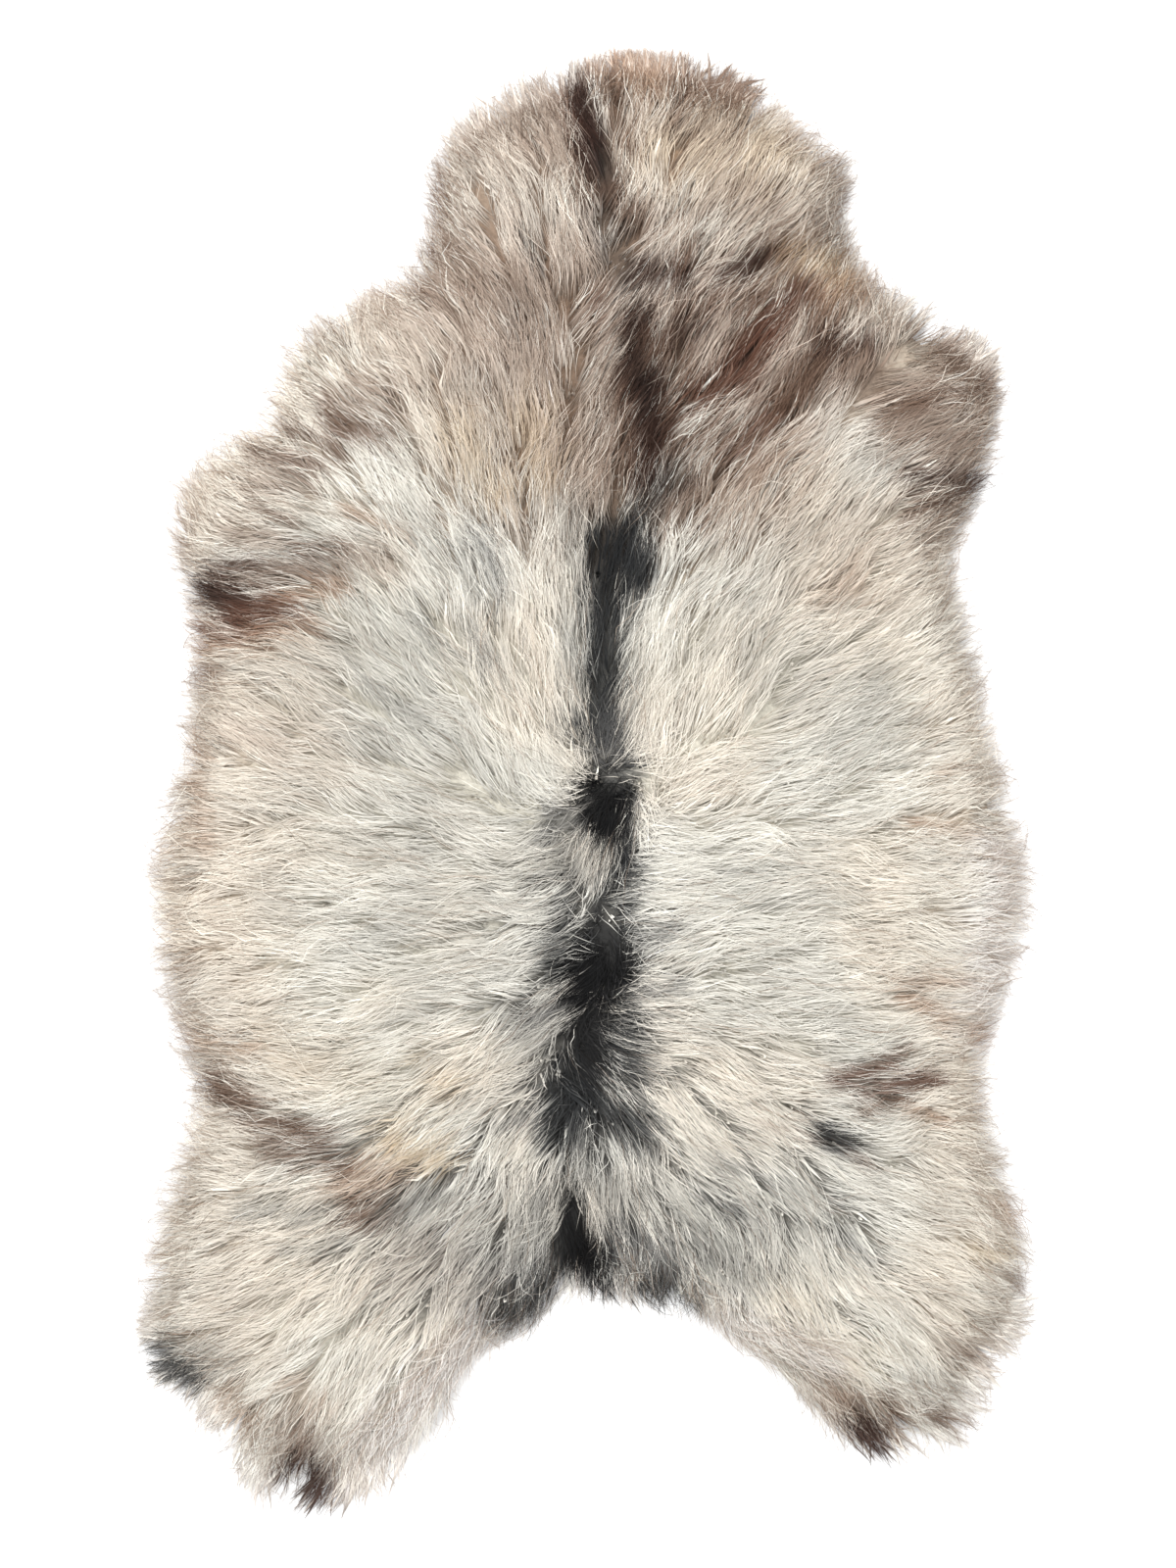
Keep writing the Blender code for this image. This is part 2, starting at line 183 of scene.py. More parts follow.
# The way the wool lies, part by part: x and y in pixels, and degrees anticlockwise from +X.
COMBING = {
    "neck": (
        (483, 191, 124), (560, 130, 105), (600, 110, 115), (640, 170, 85), (430, 270, 137),
        (650, 200, 72), (720, 150, 65), (800, 150, 45), (850, 160, 32), (750, 250, 50),
        (840, 260, 45), (550, 250, 104), (480, 130, 122), (640, 60, 92), (740, 90, 70),
    ),
    "left shoulder": (
        (350, 330, 125), (300, 420, 160), (520, 430, 100), (600, 430, 78), (200, 450, 125),
        (270, 450, 165), (300, 520, 152), (350, 500, 145), (430, 470, 120), (530, 450, 97),
        (250, 590, 175), (220, 610, 167), (300, 610, 170), (400, 600, 135), (480, 620, 112),
        (550, 600, 95), (180, 520, 140),
    ),
    "right shoulder": (
        (700, 330, 38), (780, 350, 55), (880, 320, 80), (930, 400, 22), (1000, 400, 20),
        (1000, 480, 22), (860, 420, 60), (650, 450, 62), (640, 560, 78), (700, 500, 57),
        (750, 600, 52), (850, 500, 42), (950, 520, 22), (900, 600, 35), (980, 600, 50),
        (660, 360, 58), (1010, 370, 35),
    ),
    "left ribs": (
        (380, 700, 142), (480, 750, 125), (540, 780, 107), (250, 760, 165), (400, 810, 155),
        (300, 860, 172), (170, 850, 180), (450, 870, 165), (560, 850, 190), (200, 950, 180),
        (605, 860, 262), (598, 905, 250),
        (300, 960, 178), (400, 950, 170), (500, 930, 155), (580, 700, 98), (200, 700, 172),
    ),
    "right ribs": (
        (680, 680, 68), (640, 700, 85), (800, 720, 35), (700, 780, 52), (900, 740, 17),
        (1000, 750, 10), (750, 830, 17), (700, 870, 2), (850, 860, 5), (1050, 880, -5),
        (640, 920, 55), (700, 950, 22), (750, 980, 7), (850, 930, 5), (900, 1000, -3),
        (1030, 1000, 2), (980, 680, 22),
    ),
    "left rump": (
        (400, 1020, 186), (300, 1060, 188), (180, 1020, 175), (230, 1080, 167), (250, 1130, 165),
        (450, 1100, 200), (540, 1130, 217), (350, 1180, 205), (450, 1200, 217), (250, 1200, 190),
        (170, 1230, 180), (560, 1230, 245), (400, 1250, 207), (200, 1290, 190), (560, 1010, 190),
    ),
    "right rump": (
        (700, 1040, 2), (760, 1100, -25), (900, 1090, 15), (1000, 1080, 12), (680, 1150, -40),
        (650, 1200, -67), (760, 1200, -32), (900, 1220, -20), (1000, 1230, -20),
        (1040, 1270, -17), (700, 1270, -77), (780, 1280, -60), (850, 1280, -57),
        (620, 1060, -30),
    ),
    "left hind leg": (
        (250, 1350, 205), (180, 1390, 207), (350, 1300, 207), (420, 1300, 225), (500, 1300, 240),
        (530, 1350, 245), (300, 1400, 227), (380, 1400, 245), (330, 1480, 248), (450, 1420, 248),
        (250, 1480, 252), (400, 1500, 252),
    ),
    "right hind leg": (
        (600, 1280, -62), (650, 1300, -80), (700, 1320, -72), (760, 1350, -55), (820, 1380, -45),
        (860, 1420, -62), (890, 1440, -70), (910, 1480, -75), (980, 1450, -18), (930, 1350, -45),
        (840, 1390, -52), (880, 1400, -58), (1000, 1350, -32),
        (1000, 1390, -45), (1040, 1300, -10),
    ),
}

# The longest tips, at the neck's top, the right shoulder, the hocks, the legs and the tail: x
# and y in pixels.
LONG_TIPS = (
    (500, 115), (560, 85), (620, 58), (690, 55), (750, 78), (1000, 362), (960, 335), (160, 1400),
    (250, 1490), (315, 1530), (905, 1495), (880, 1480), (925, 1505), (995, 1460), (610, 1310),
    (1020, 1385), (370, 1525), (410, 1505), (450, 1470), (195, 1425),
)

# Markings, in the order in which they lie over each other: the place on the pelt, the tone,
# how fully it covers, its half width and the softness of its edge, and the two ends of its
# middle line as x, y and x, y, in pixels.
MARKINGS = (
    ("flank glow, left", "oat", 0.6, 70, 40, 230, 690, 220, 1340),
    ("flank glow, right", "cream", 0.4, 60, 40, 960, 560, 990, 1340),
    ("rib ground, left", "stone", 0.62, 46, 32, 305, 630, 325, 770),
    ("rib veil, left", "silver", 0.40, 60, 40, 300, 560, 366, 640),
    ("rib shade, left", "beige", 0.45, 16, 14, 238, 744, 276, 756),
    ("neck ground, left", "stone", 0.60, 80, 40, 500, 140, 520, 250),
    ("neck ground, right", "stone", 0.75, 90, 40, 700, 140, 800, 220),
    ("neck gold, right", "sand", 0.45, 45, 30, 690, 150, 760, 150),
    ("neck shade, top right", "taupe", 0.55, 20, 16, 656, 112, 742, 136),
    ("neck base", "beige", 0.85, 70, 45, 480, 290, 640, 270),
    ("withers ground, left", "beige", 0.80, 75, 45, 520, 350, 570, 450),
    ("withers streak, left", "taupe", 0.50, 18, 14, 528, 350, 556, 400),
    ("withers light, left", "cream", 0.50, 10, 12, 586, 362, 600, 400),
    ("withers ground, middle", "taupe", 0.80, 36, 32, 625, 310, 640, 470),
    ("withers ground, foot", "taupe", 0.55, 38, 26, 570, 470, 616, 506),
    ("shoulder ground, right", "beige", 0.90, 80, 40, 720, 340, 900, 400),
    ("shoulder blade, right", "stone", 0.70, 60, 45, 760, 500, 900, 560),
    ("outer shoulder, left", "cream", 0.70, 55, 30, 350, 345, 290, 400),
    ("inner shoulder, left", "stone", 0.85, 55, 35, 400, 335, 460, 400),
    ("shoulder ground, left", "beige", 0.60, 46, 34, 440, 326, 500, 356),
    ("shoulder gold, left", "sand", 0.45, 14, 14, 470, 440, 500, 500),
    ("shoulder gold, middle", "sand", 0.45, 20, 18, 540, 430, 550, 490),
    ("shoulder tuft, right", "ivory", 0.75, 30, 22, 868, 430, 890, 470),
    ("shoulder ground, outer right", "taupe", 0.75, 50, 26, 930, 380, 975, 460),
    ("shoulder gap, right", "stone", 0.75, 13, 10, 890, 374, 948, 366),
    ("neck rim, left", "umber", 0.45, 10, 10, 440, 150, 436, 290),
    ("neck band, left", "taupe", 0.88, 28, 20, 456, 284, 540, 312),
    ("neck band, upper left", "taupe", 0.50, 16, 16, 445, 230, 500, 260),
    ("neck shade, left", "taupe", 0.72, 24, 16, 560, 88, 570, 170),
    ("neck light, left", "ivory", 0.45, 9, 12, 498, 196, 506, 252),
    ("neck light, inner left", "ivory", 0.40, 9, 12, 550, 190, 560, 226),
    ("neck shade, upper left", "taupe", 0.55, 16, 14, 520, 152, 582, 138),
    ("neck stripe, left shade", "umber", 0.55, 10, 10, 588, 158, 600, 206),
    ("neck fleck", "charcoal", 0.75, 4, 6, 536, 238, 549, 268),
    ("neck rim, top", "rust", 0.70, 20, 14, 610, 62, 760, 84),
    ("neck rim, top right", "umber", 0.72, 18, 13, 706, 74, 768, 92),
    ("neck tips, middle", "rust", 0.75, 8, 10, 604, 54, 690, 48),
    ("neck tips, right", "umber", 0.55, 8, 10, 704, 54, 772, 78),
    ("neck tips, outer right", "beige", 0.60, 13, 13, 800, 106, 852, 160),
    ("neck tips, left", "umber", 0.50, 8, 10, 442, 160, 436, 262),
    ("neck top, left", "taupe", 0.65, 26, 18, 490, 126, 575, 92),
    ("neck edge, left", "taupe", 0.60, 14, 12, 448, 160, 440, 250),
    ("neck stripe, right edge", "umber", 0.70, 11, 9, 622, 76, 640, 150),
    ("neck shade, low right", "umber", 0.76, 20, 13, 802, 262, 836, 320),
    ("neck shade, right", "taupe", 0.45, 24, 20, 740, 190, 780, 220),
    ("neck lock, top right", "umber", 0.55, 8, 8, 700, 70, 690, 120),
    ("neck stripe, rust edge", "red brown", 0.80, 8, 6, 578, 92, 592, 142),
    ("neck stripe, top", "dark brown", 0.95, 14, 7, 590, 80, 602, 138),
    ("neck stripe, middle", "dark brown", 0.95, 17, 7, 604, 140, 616, 188),
    ("neck stripe, core", "charcoal", 0.70, 7, 6, 614, 160, 616, 212),
    ("neck stripe, foot", "umber", 0.85, 15, 9, 616, 195, 644, 230),
    ("neck streak", "slate", 0.55, 12, 12, 618, 225, 640, 290),
    ("neck edge, right", "umber", 0.50, 10, 10, 864, 176, 860, 262),
    ("neck streaks, right", "taupe", 0.65, 11, 10, 800, 232, 850, 215),
    ("neck streaks, low right", "umber", 0.65, 12, 9, 784, 258, 840, 246),
    ("neck corner, right", "rust", 0.60, 16, 13, 836, 300, 868, 284),
    ("neck corner gold, right", "sand", 0.60, 16, 14, 815, 262, 850, 270),
    ("throat blot", "dark brown", 0.88, 13, 8, 654, 278, 694, 284),
    ("throat arm", "umber", 0.75, 5, 5, 692, 276, 708, 246),
    ("throat spot", "dark brown", 0.88, 10, 7, 736, 284, 774, 264),
    ("throat veil", "umber", 0.76, 12, 10, 708, 318, 790, 296),
    ("throat streak, low", "red brown", 0.55, 4, 5, 610, 300, 612, 332),
    ("withers patch, top", "dark brown", 0.98, 18, 8, 652, 334, 657, 396),
    ("withers patch, middle", "dark brown", 1.0, 26, 9, 655, 390, 662, 430),
    ("withers patch, foot", "dark brown", 0.90, 17, 10, 664, 436, 658, 492),
    ("withers patch, core", "black", 0.55, 10, 8, 656, 350, 658, 420),
    ("withers arm, upper", "dark brown", 0.88, 9, 7, 666, 346, 720, 330),
    ("withers arm, lower", "umber", 0.85, 12, 9, 684, 415, 740, 392),
    ("withers shade, right", "umber", 0.75, 17, 12, 668, 354, 704, 376),
    ("withers streak, low right", "umber", 0.65, 12, 10, 690, 456, 728, 438),
    ("blade streak, right", "taupe", 0.60, 14, 12, 700, 530, 748, 534),
    ("withers shade, left", "umber", 0.60, 15, 13, 634, 404, 636, 470),
    ("sash, foot", "red brown", 0.80, 15, 9, 708, 406, 752, 386),
    ("sash, middle", "red brown", 0.95, 20, 9, 758, 372, 784, 332),
    ("sash, top", "red brown", 0.92, 13, 8, 786, 326, 815, 298),
    ("sash, streak above", "umber", 0.60, 6, 6, 736, 352, 776, 316),
    ("second sash, foot", "red brown", 0.80, 12, 8, 745, 466, 796, 416),
    ("second sash, middle", "umber", 0.90, 18, 9, 800, 408, 850, 356),
    ("second sash, top", "dark brown", 0.80, 12, 9, 842, 352, 886, 350),
    ("second sash, veil", "umber", 0.50, 14, 14, 856, 362, 884, 380),
    ("second sash, edge", "umber", 0.35, 12, 10, 850, 392, 905, 362),
    ("shoulder streaks, right", "umber", 0.65, 10, 9, 690, 480, 750, 436),
    ("shoulder veil, right", "taupe", 0.75, 22, 16, 690, 514, 770, 478),
    ("shoulder bar, right", "umber", 0.80, 12, 10, 910, 418, 972, 400),
    ("shoulder bar, middle right", "taupe", 0.75, 15, 12, 915, 440, 990, 452),
    ("shoulder bar, low right", "dark brown", 0.80, 13, 9, 940, 488, 1000, 496),
    ("shoulder rim, right", "umber", 0.60, 16, 12, 938, 338, 1016, 388),
    ("shoulder light, upper right", "cream", 0.50, 10, 10, 902, 336, 944, 354),
    ("shoulder rim streak", "umber", 0.65, 6, 6, 1004, 392, 1020, 440),
    ("armpit, right", "umber", 0.30, 12, 11, 944, 548, 984, 524),
    ("armpit streak, right", "umber", 0.60, 11, 9, 926, 528, 962, 508),
    ("shoulder wash, right", "rust", 0.25, 26, 22, 740, 500, 800, 470),
    ("rib wash, right", "rust", 0.30, 16, 16, 836, 612, 866, 590),
    ("shoulder lock, left", "umber", 0.75, 5, 5, 332, 402, 350, 442),
    ("shoulder veil, left", "umber", 0.70, 12, 10, 340, 424, 390, 446),
    ("shoulder veil, upper left", "taupe", 0.72, 14, 11, 352, 400, 398, 408),
    ("shoulder streak, left", "umber", 0.75, 5, 5, 288, 434, 346, 458),
    ("shoulder blot, left", "umber", 0.72, 10, 8, 268, 460, 330, 478),
    ("shoulder shade, left", "taupe", 0.65, 13, 11, 256, 494, 300, 500),
    ("shoulder tips, upper left", "taupe", 0.60, 12, 12, 288, 345, 332, 322),
    ("shoulder tips, left", "taupe", 0.55, 10, 12, 172, 518, 176, 562),
    ("shoulder flick, left", "umber", 0.70, 5, 5, 262, 518, 298, 536),
    ("shoulder gold streak", "rust", 0.60, 4, 5, 350, 518, 414, 548),
    ("shoulder rim, left", "taupe", 0.45, 12, 12, 186, 498, 186, 566),
    ("elbow bar", "dark brown", 0.70, 6, 6, 214, 580, 262, 574),
    ("elbow tips", "rust", 0.50, 12, 12, 190, 622, 196, 668),
    ("elbow veil", "umber", 0.60, 13, 10, 210, 596, 330, 580),
    ("elbow core", "dark brown", 0.92, 15, 9, 208, 600, 246, 618),
    ("elbow rust, low", "red brown", 0.70, 12, 10, 200, 642, 262, 644),
    ("elbow rust, low tip", "rust", 0.60, 10, 10, 262, 642, 318, 636),
    ("elbow streaks, upper", "taupe", 0.65, 13, 10, 236, 540, 276, 552),
    ("elbow rust", "red brown", 0.85, 15, 9, 240, 626, 296, 616),
    ("elbow rust, tip", "rust", 0.70, 9, 9, 296, 606, 348, 592),
    ("elbow streak, upper", "umber", 0.80, 7, 6, 298, 560, 352, 560),
    ("elbow veil, inner", "taupe", 0.60, 13, 12, 345, 572, 400, 574),
    ("elbow glow", "rust", 0.50, 9, 9, 210, 654, 268, 658),
    ("rib spot, left", "umber", 0.65, 7, 7, 196, 690, 212, 690),
    ("rib rim, left", "rust", 0.45, 9, 9, 192, 750, 206, 860),
    ("rib veil, left", "silver", 0.30, 55, 35, 430, 660, 430, 960),
    ("rib streak, left", "grey", 0.65, 7, 11, 430, 628, 446, 656),
    ("rib streak, middle left", "slate", 0.50, 5, 10, 478, 636, 496, 676),
    ("rib streak, upper left", "slate", 0.55, 9, 10, 488, 545, 508, 596),
    ("rib streak, highest left", "grey", 0.50, 7, 14, 468, 556, 484, 614),
    ("rib streaks, low left", "grey", 0.45, 9, 9, 370, 700, 420, 730),
    ("rib veil, right", "silver", 0.45, 50, 35, 770, 640, 870, 740),
    ("loin veil, left", "silver", 0.45, 34, 26, 560, 880, 556, 950),
    ("loin streaks, right", "grey", 0.35, 5, 6, 740, 890, 800, 886),
    ("loin streaks, low right", "grey", 0.15, 7, 7, 780, 922, 880, 914),
    ("withers foot", "charcoal", 0.88, 12, 12, 688, 490, 650, 528),
    ("withers foot, veil", "umber", 0.50, 18, 14, 700, 500, 668, 530),
    ("back shade, left", "grey", 0.65, 11, 13, 584, 520, 588, 740),
    ("back shade, right", "grey", 0.60, 8, 11, 648, 600, 642, 720),
    ("loin spot, left wing", "slate", 0.70, 15, 11, 566, 838, 600, 844),
    ("loin spot, crown", "charcoal", 0.92, 15, 9, 612, 796, 630, 808),
    ("loin veil, upper left", "grey", 0.55, 22, 16, 572, 872, 602, 902),
    ("loin spot, right wing", "charcoal", 0.85, 10, 9, 640, 776, 638, 880),
    ("back stripe, lobe", "charcoal", 0.95, 24, 8, 636, 548, 646, 588),
    ("back stripe, top", "charcoal", 0.95, 20, 7, 618, 548, 620, 600),
    ("back stripe, upper", "charcoal", 0.93, 20, 7, 618, 600, 616, 690),
    ("back stripe, lower", "charcoal", 0.90, 18, 8, 616, 690, 616, 750),
    ("back stripe, spot", "charcoal", 0.85, 9, 7, 588, 742, 602, 728),
    ("back stripe, neck", "slate", 0.85, 13, 8, 620, 740, 620, 790),
    ("loin spot", "black", 0.98, 24, 8, 612, 806, 620, 842),
    ("loin knot", "black", 0.90, 8, 6, 634, 866, 644, 870),
    ("loin thread", "charcoal", 0.80, 9, 7, 636, 872, 612, 926),
    ("loin thread, left", "charcoal", 0.60, 8, 9, 578, 900, 572, 940),
    ("loin thread, right", "charcoal", 0.78, 10, 9, 644, 880, 640, 924),
    ("loin crown", "charcoal", 0.90, 20, 10, 606, 956, 626, 956),
    ("loin heart", "black", 1.0, 32, 9, 598, 1000, 622, 988),
    ("loin wing, right", "slate", 0.40, 9, 9, 640, 968, 684, 950),
    ("loin wing, low right", "slate", 0.60, 7, 7, 630, 1016, 700, 1008),
    ("loin wing, left", "slate", 0.70, 10, 9, 544, 1036, 580, 1028),
    ("loin veil, left", "grey", 0.50, 24, 18, 522, 1044, 562, 1076),
    ("loin thread, low left", "charcoal", 0.70, 9, 8, 566, 962, 564, 992),
    ("loin cloud", "black", 0.92, 28, 11, 602, 1034, 600, 1092),
    ("loin blot, left", "charcoal", 0.92, 26, 10, 578, 1116, 576, 1158),
    ("loin wing, lowest left", "slate", 0.45, 6, 7, 510, 1146, 548, 1140),
    ("loin wing, lowest right", "charcoal", 0.82, 19, 12, 606, 1128, 656, 1156),
    ("loin moss", "charcoal", 0.82, 17, 12, 638, 1030, 648, 1092),
    ("croup veil", "grey", 0.50, 26, 18, 596, 1190, 640, 1220),
    ("croup shade, left", "slate", 0.60, 11, 11, 548, 1222, 556, 1264),
    ("hip veil, left", "silver", 0.75, 40, 30, 430, 1260, 540, 1270),
    ("hip shade, left", "taupe", 0.30, 34, 24, 430, 1280, 500, 1320),
    ("hip veil, right", "silver", 0.70, 36, 30, 680, 1230, 800, 1260),
    ("tail, root", "black", 0.96, 17, 8, 584, 1232, 586, 1260),
    ("tail, right side", "charcoal", 0.90, 10, 8, 618, 1264, 622, 1294),
    ("tail, middle", "black", 0.98, 24, 7, 586, 1268, 594, 1284),
    ("tail, tip", "black", 0.95, 13, 7, 592, 1292, 618, 1318),
    ("tail flank, right", "slate", 0.70, 20, 18, 650, 1268, 688, 1304),
    ("tail veil, right", "grey", 0.60, 26, 18, 720, 1270, 752, 1298),
    ("tail flank edge, right", "charcoal", 0.80, 15, 10, 660, 1322, 704, 1342),
    ("crotch, left", "charcoal", 0.86, 20, 16, 512, 1350, 546, 1322),
    ("crotch veil, left", "slate", 0.42, 22, 18, 500, 1296, 560, 1300),
    ("hip streak, upper right", "slate", 0.40, 5, 6, 740, 1188, 806, 1202),
    ("hip streak, right", "slate", 0.55, 7, 7, 722, 1222, 762, 1236),
    ("hip streak, outer right", "grey", 0.45, 7, 8, 806, 1204, 856, 1228),
    ("thigh streak, right", "slate", 0.38, 7, 8, 858, 1256, 888, 1284),
    ("waist veil, left", "rust", 0.50, 9, 9, 194, 1064, 254, 1068),
    ("waist, left", "umber", 0.85, 12, 9, 212, 1104, 250, 1132),
    ("waist crease, left", "umber", 0.75, 7, 7, 252, 1142, 302, 1152),
    ("hip crease, upper left", "umber", 0.85, 9, 7, 300, 1152, 336, 1166),
    ("hip crease, lower left", "umber", 0.85, 9, 7, 326, 1174, 352, 1192),
    ("hip crease, middle left", "umber", 0.70, 11, 9, 270, 1164, 312, 1186),
    ("hip rust, left", "rust", 0.50, 16, 14, 350, 1206, 402, 1200),
    ("hip blot, left", "umber", 0.85, 11, 8, 362, 1238, 398, 1236),
    ("hip blot, inner left", "grey", 0.80, 12, 9, 402, 1236, 452, 1212),
    ("hip gold, left", "sand", 0.60, 14, 13, 400, 1168, 444, 1180),
    ("loin gold, left", "sand", 0.40, 10, 10, 436, 1086, 456, 1108),
    ("flank gold, left", "sand", 0.15, 30, 26, 290, 1060, 420, 1130),
    ("thigh streak, left", "grey", 0.60, 8, 8, 244, 1232, 336, 1240),
    ("thigh streak, low left", "grey", 0.50, 8, 8, 296, 1276, 346, 1270),
    ("flank rim, left", "taupe", 0.40, 12, 12, 180, 990, 180, 1050),
    ("hock spot, left", "charcoal", 0.92, 16, 9, 158, 1388, 188, 1410),
    ("hock veil, left", "grey", 0.45, 16, 14, 176, 1376, 220, 1384),
    ("leg gold, left", "rust", 0.55, 10, 10, 228, 1432, 248, 1452),
    ("leg rust, left", "rust", 0.35, 12, 10, 300, 1420, 326, 1442),
    ("leg streak, left", "umber", 0.70, 8, 9, 308, 1452, 308, 1476),
    ("leg tip veil, left", "beige", 0.55, 28, 20, 300, 1466, 314, 1500),
    ("leg tip, left", "dark brown", 0.92, 22, 12, 310, 1510, 322, 1544),
    ("flank curl, right", "rust", 0.85, 5, 5, 932, 838, 996, 848),
    ("flank curl, upper right", "rust", 0.60, 4, 5, 958, 792, 978, 780),
    ("flank cream, right", "cream", 0.60, 30, 22, 970, 820, 990, 860),
    ("flank light, right", "snow", 0.85, 24, 20, 1022, 876, 1008, 1040),
    ("shoulder tips, right", "taupe", 0.60, 8, 10, 1030, 396, 1030, 462),
    ("flank tips, left", "beige", 0.55, 9, 10, 150, 856, 158, 826),
    ("thigh tips, left", "beige", 0.55, 9, 12, 146, 1304, 150, 1258),
    ("flank rim, right", "taupe", 0.10, 14, 12, 1040, 866, 1050, 926),
    ("flank streak, right", "rust", 0.40, 6, 6, 918, 1000, 984, 1000),
    ("flank streak, low right", "rust", 0.65, 8, 7, 928, 1016, 962, 1040),
    ("flank rim, low right", "rust", 0.55, 8, 8, 1000, 1052, 1026, 1066),
    ("waist bar, right", "red brown", 0.80, 7, 6, 858, 1100, 902, 1086),
    ("waist bar, upper right", "umber", 0.75, 5, 5, 896, 1082, 922, 1068),
    ("waist bar, middle right", "red brown", 0.78, 7, 6, 882, 1112, 952, 1100),
    ("waist bar, low right", "umber", 0.75, 5, 5, 880, 1136, 932, 1110),
    ("waist fleck, right", "rust", 0.70, 5, 5, 928, 1130, 962, 1142),
    ("waist fleck, inner right", "umber", 0.15, 4, 5, 808, 1146, 832, 1134),
    ("hip spot, right", "charcoal", 0.92, 10, 6, 838, 1158, 870, 1166),
    ("hip spot tail, right", "umber", 0.65, 5, 5, 866, 1170, 888, 1190),
    ("hip spot arm, right", "taupe", 0.50, 5, 5, 784, 1150, 832, 1160),
    ("thigh rim, right", "rust", 0.70, 8, 7, 1030, 1228, 1046, 1246),
    ("thigh gold, right", "sand", 0.40, 6, 7, 998, 1280, 1042, 1280),
    ("thigh spot, right", "umber", 0.55, 6, 6, 1040, 1306, 1048, 1318),
    ("hock, right", "taupe", 0.70, 11, 10, 976, 1376, 1012, 1384),
    ("leg gold, right", "sand", 0.30, 26, 22, 800, 1350, 870, 1396),
    ("leg rust, right", "rust", 0.50, 11, 9, 856, 1428, 884, 1448),
    ("leg tip veil, right", "beige", 0.45, 20, 18, 850, 1410, 890, 1450),
    ("leg tip, right", "dark brown", 0.95, 20, 11, 884, 1460, 912, 1514),
    ("leg glow, left", "snow", 0.90, 28, 20, 384, 1480, 478, 1380),
    ("leg glow, right", "snow", 0.70, 18, 16, 745, 1350, 850, 1386),
    ("leg streak, right", "umber", 0.80, 8, 7, 908, 1430, 930, 1500),
    ("leg wisp, right", "umber", 0.75, 6, 5, 958, 1448, 1010, 1466),
)

# The undercoat's tones: a few broad patches over a pearly ground, written like the markings.
UNDERCOAT = (
    ("under neck", "taupe", 0.9, 190, 60, 600, 120, 700, 400),
    ("under left shoulder", "taupe", 0.7, 130, 60, 380, 360, 480, 470),
    ("under flank, left", "beige", 0.5, 60, 40, 210, 480, 200, 1400),
    ("under flank, right", "beige", 0.5, 60, 40, 1000, 400, 1000, 1400),
    ("under loin", "slate", 0.8, 90, 60, 600, 930, 600, 1150),
    ("under rump", "slate", 0.7, 130, 70, 470, 1250, 760, 1250),
)


def from_photo(x, y):
    """Places on the pelt, in metres, from pixels of the photograph."""
    across = (np.asarray(x, float) - ORIGIN_PIXEL[0]) * PIXEL
    along = (ORIGIN_PIXEL[1] - np.asarray(y, float)) * PIXEL
    return np.stack([across, along], axis=-1)


def linear(tone):
    """Scene-linear colour of a tone as seen on a screen, by the sRGB curve."""
    tone = np.asarray(tone, float)
    return np.where(tone <= 0.04045, tone / 12.92, ((tone + 0.055) / 1.055) ** 2.4)


def unit(vectors):
    """Vectors of length one."""
    return vectors / np.maximum(np.linalg.norm(vectors, axis=-1, keepdims=True), 1e-9)


def ease(share):
    """A smooth step from 0 to 1."""
    share = np.clip(share, 0.0, 1.0)
    return share * share * (3 - 2 * share)


def between(values, i, j, i1, j1, fx, fy):
    """Values blended between four cells of a grid, by the shares of the way along x and y."""
    low = values[j, i] * (1 - fx) + values[j, i1] * fx
    high = values[j1, i] * (1 - fx) + values[j1, i1] * fx
    return low * (1 - fy) + high * fy


class PlanGrid:
    """Values on a square grid over the plan, read anywhere by bilinear interpolation."""

    def __init__(self, low, cell, values):
        self.low = np.array(low)
        self.cell = cell
        self.values = values

    def at(self, points):
        """The values at points. Points past the grid take the values at its border."""
        rows, columns = self.values.shape[:2]
        place = (points - self.low) / self.cell
        x = np.clip(place[..., 0], 0, columns - 1.001)
        y = np.clip(place[..., 1], 0, rows - 1.001)
        i, j = x.astype(int), y.astype(int)
        fx, fy = x - i, y - j
        if self.values.ndim == 3:
            fx, fy = fx[..., None], fy[..., None]
        return between(self.values, i, j, i + 1, j + 1, fx, fy)


def flat_area(line):
    """The area inside a closed line, by the shoelace formula."""
    x, y = line.T
    return abs((x * np.roll(y, -1) - y * np.roll(x, -1)).sum()) / 2


def blurred(values, rounds):
    """A grid smoothed in rounds: each cell, counted twice, is averaged with its four neighbours."""
    for _ in range(rounds):
        padded = np.pad(values, 1, mode="edge")
        around = padded[:-2, 1:-1] + padded[2:, 1:-1] + padded[1:-1, :-2] + padded[1:-1, 2:]
        values = (values * 2 + around) / 6
    return values


def grain(points, pitch, seed):
    """Smooth random values from 0 to 1: a random number at each corner of a lattice, eased
    between the corners."""
    side = 128
    table = np.random.default_rng(seed).random((side, side))
    place = points / pitch
    corner = np.floor(place).astype(int)
    fx, fy = np.moveaxis(ease(place - corner), -1, 0)
    i, j = np.moveaxis(corner % side, -1, 0)
    return between(table, i, j, (i + 1) % side, (j + 1) % side, fx, fy)


def lattice(low, high, pitch):
    """The columns and rows of a square lattice over a box, and the number pair of each cell."""
    columns, rows = np.ceil((high - low) / pitch).astype(int)
    cells = np.meshgrid(np.arange(columns), np.arange(rows))
    return columns, rows, np.stack(cells, axis=-1).reshape(-1, 2)


def in_parts(points, measure):
    """What measure gives for points, taken a few thousand at a time to save memory."""
    parts = np.array_split(points, max(1, len(points) // POINTS_AT_ONCE))
    return np.concatenate([measure(part) for part in parts])


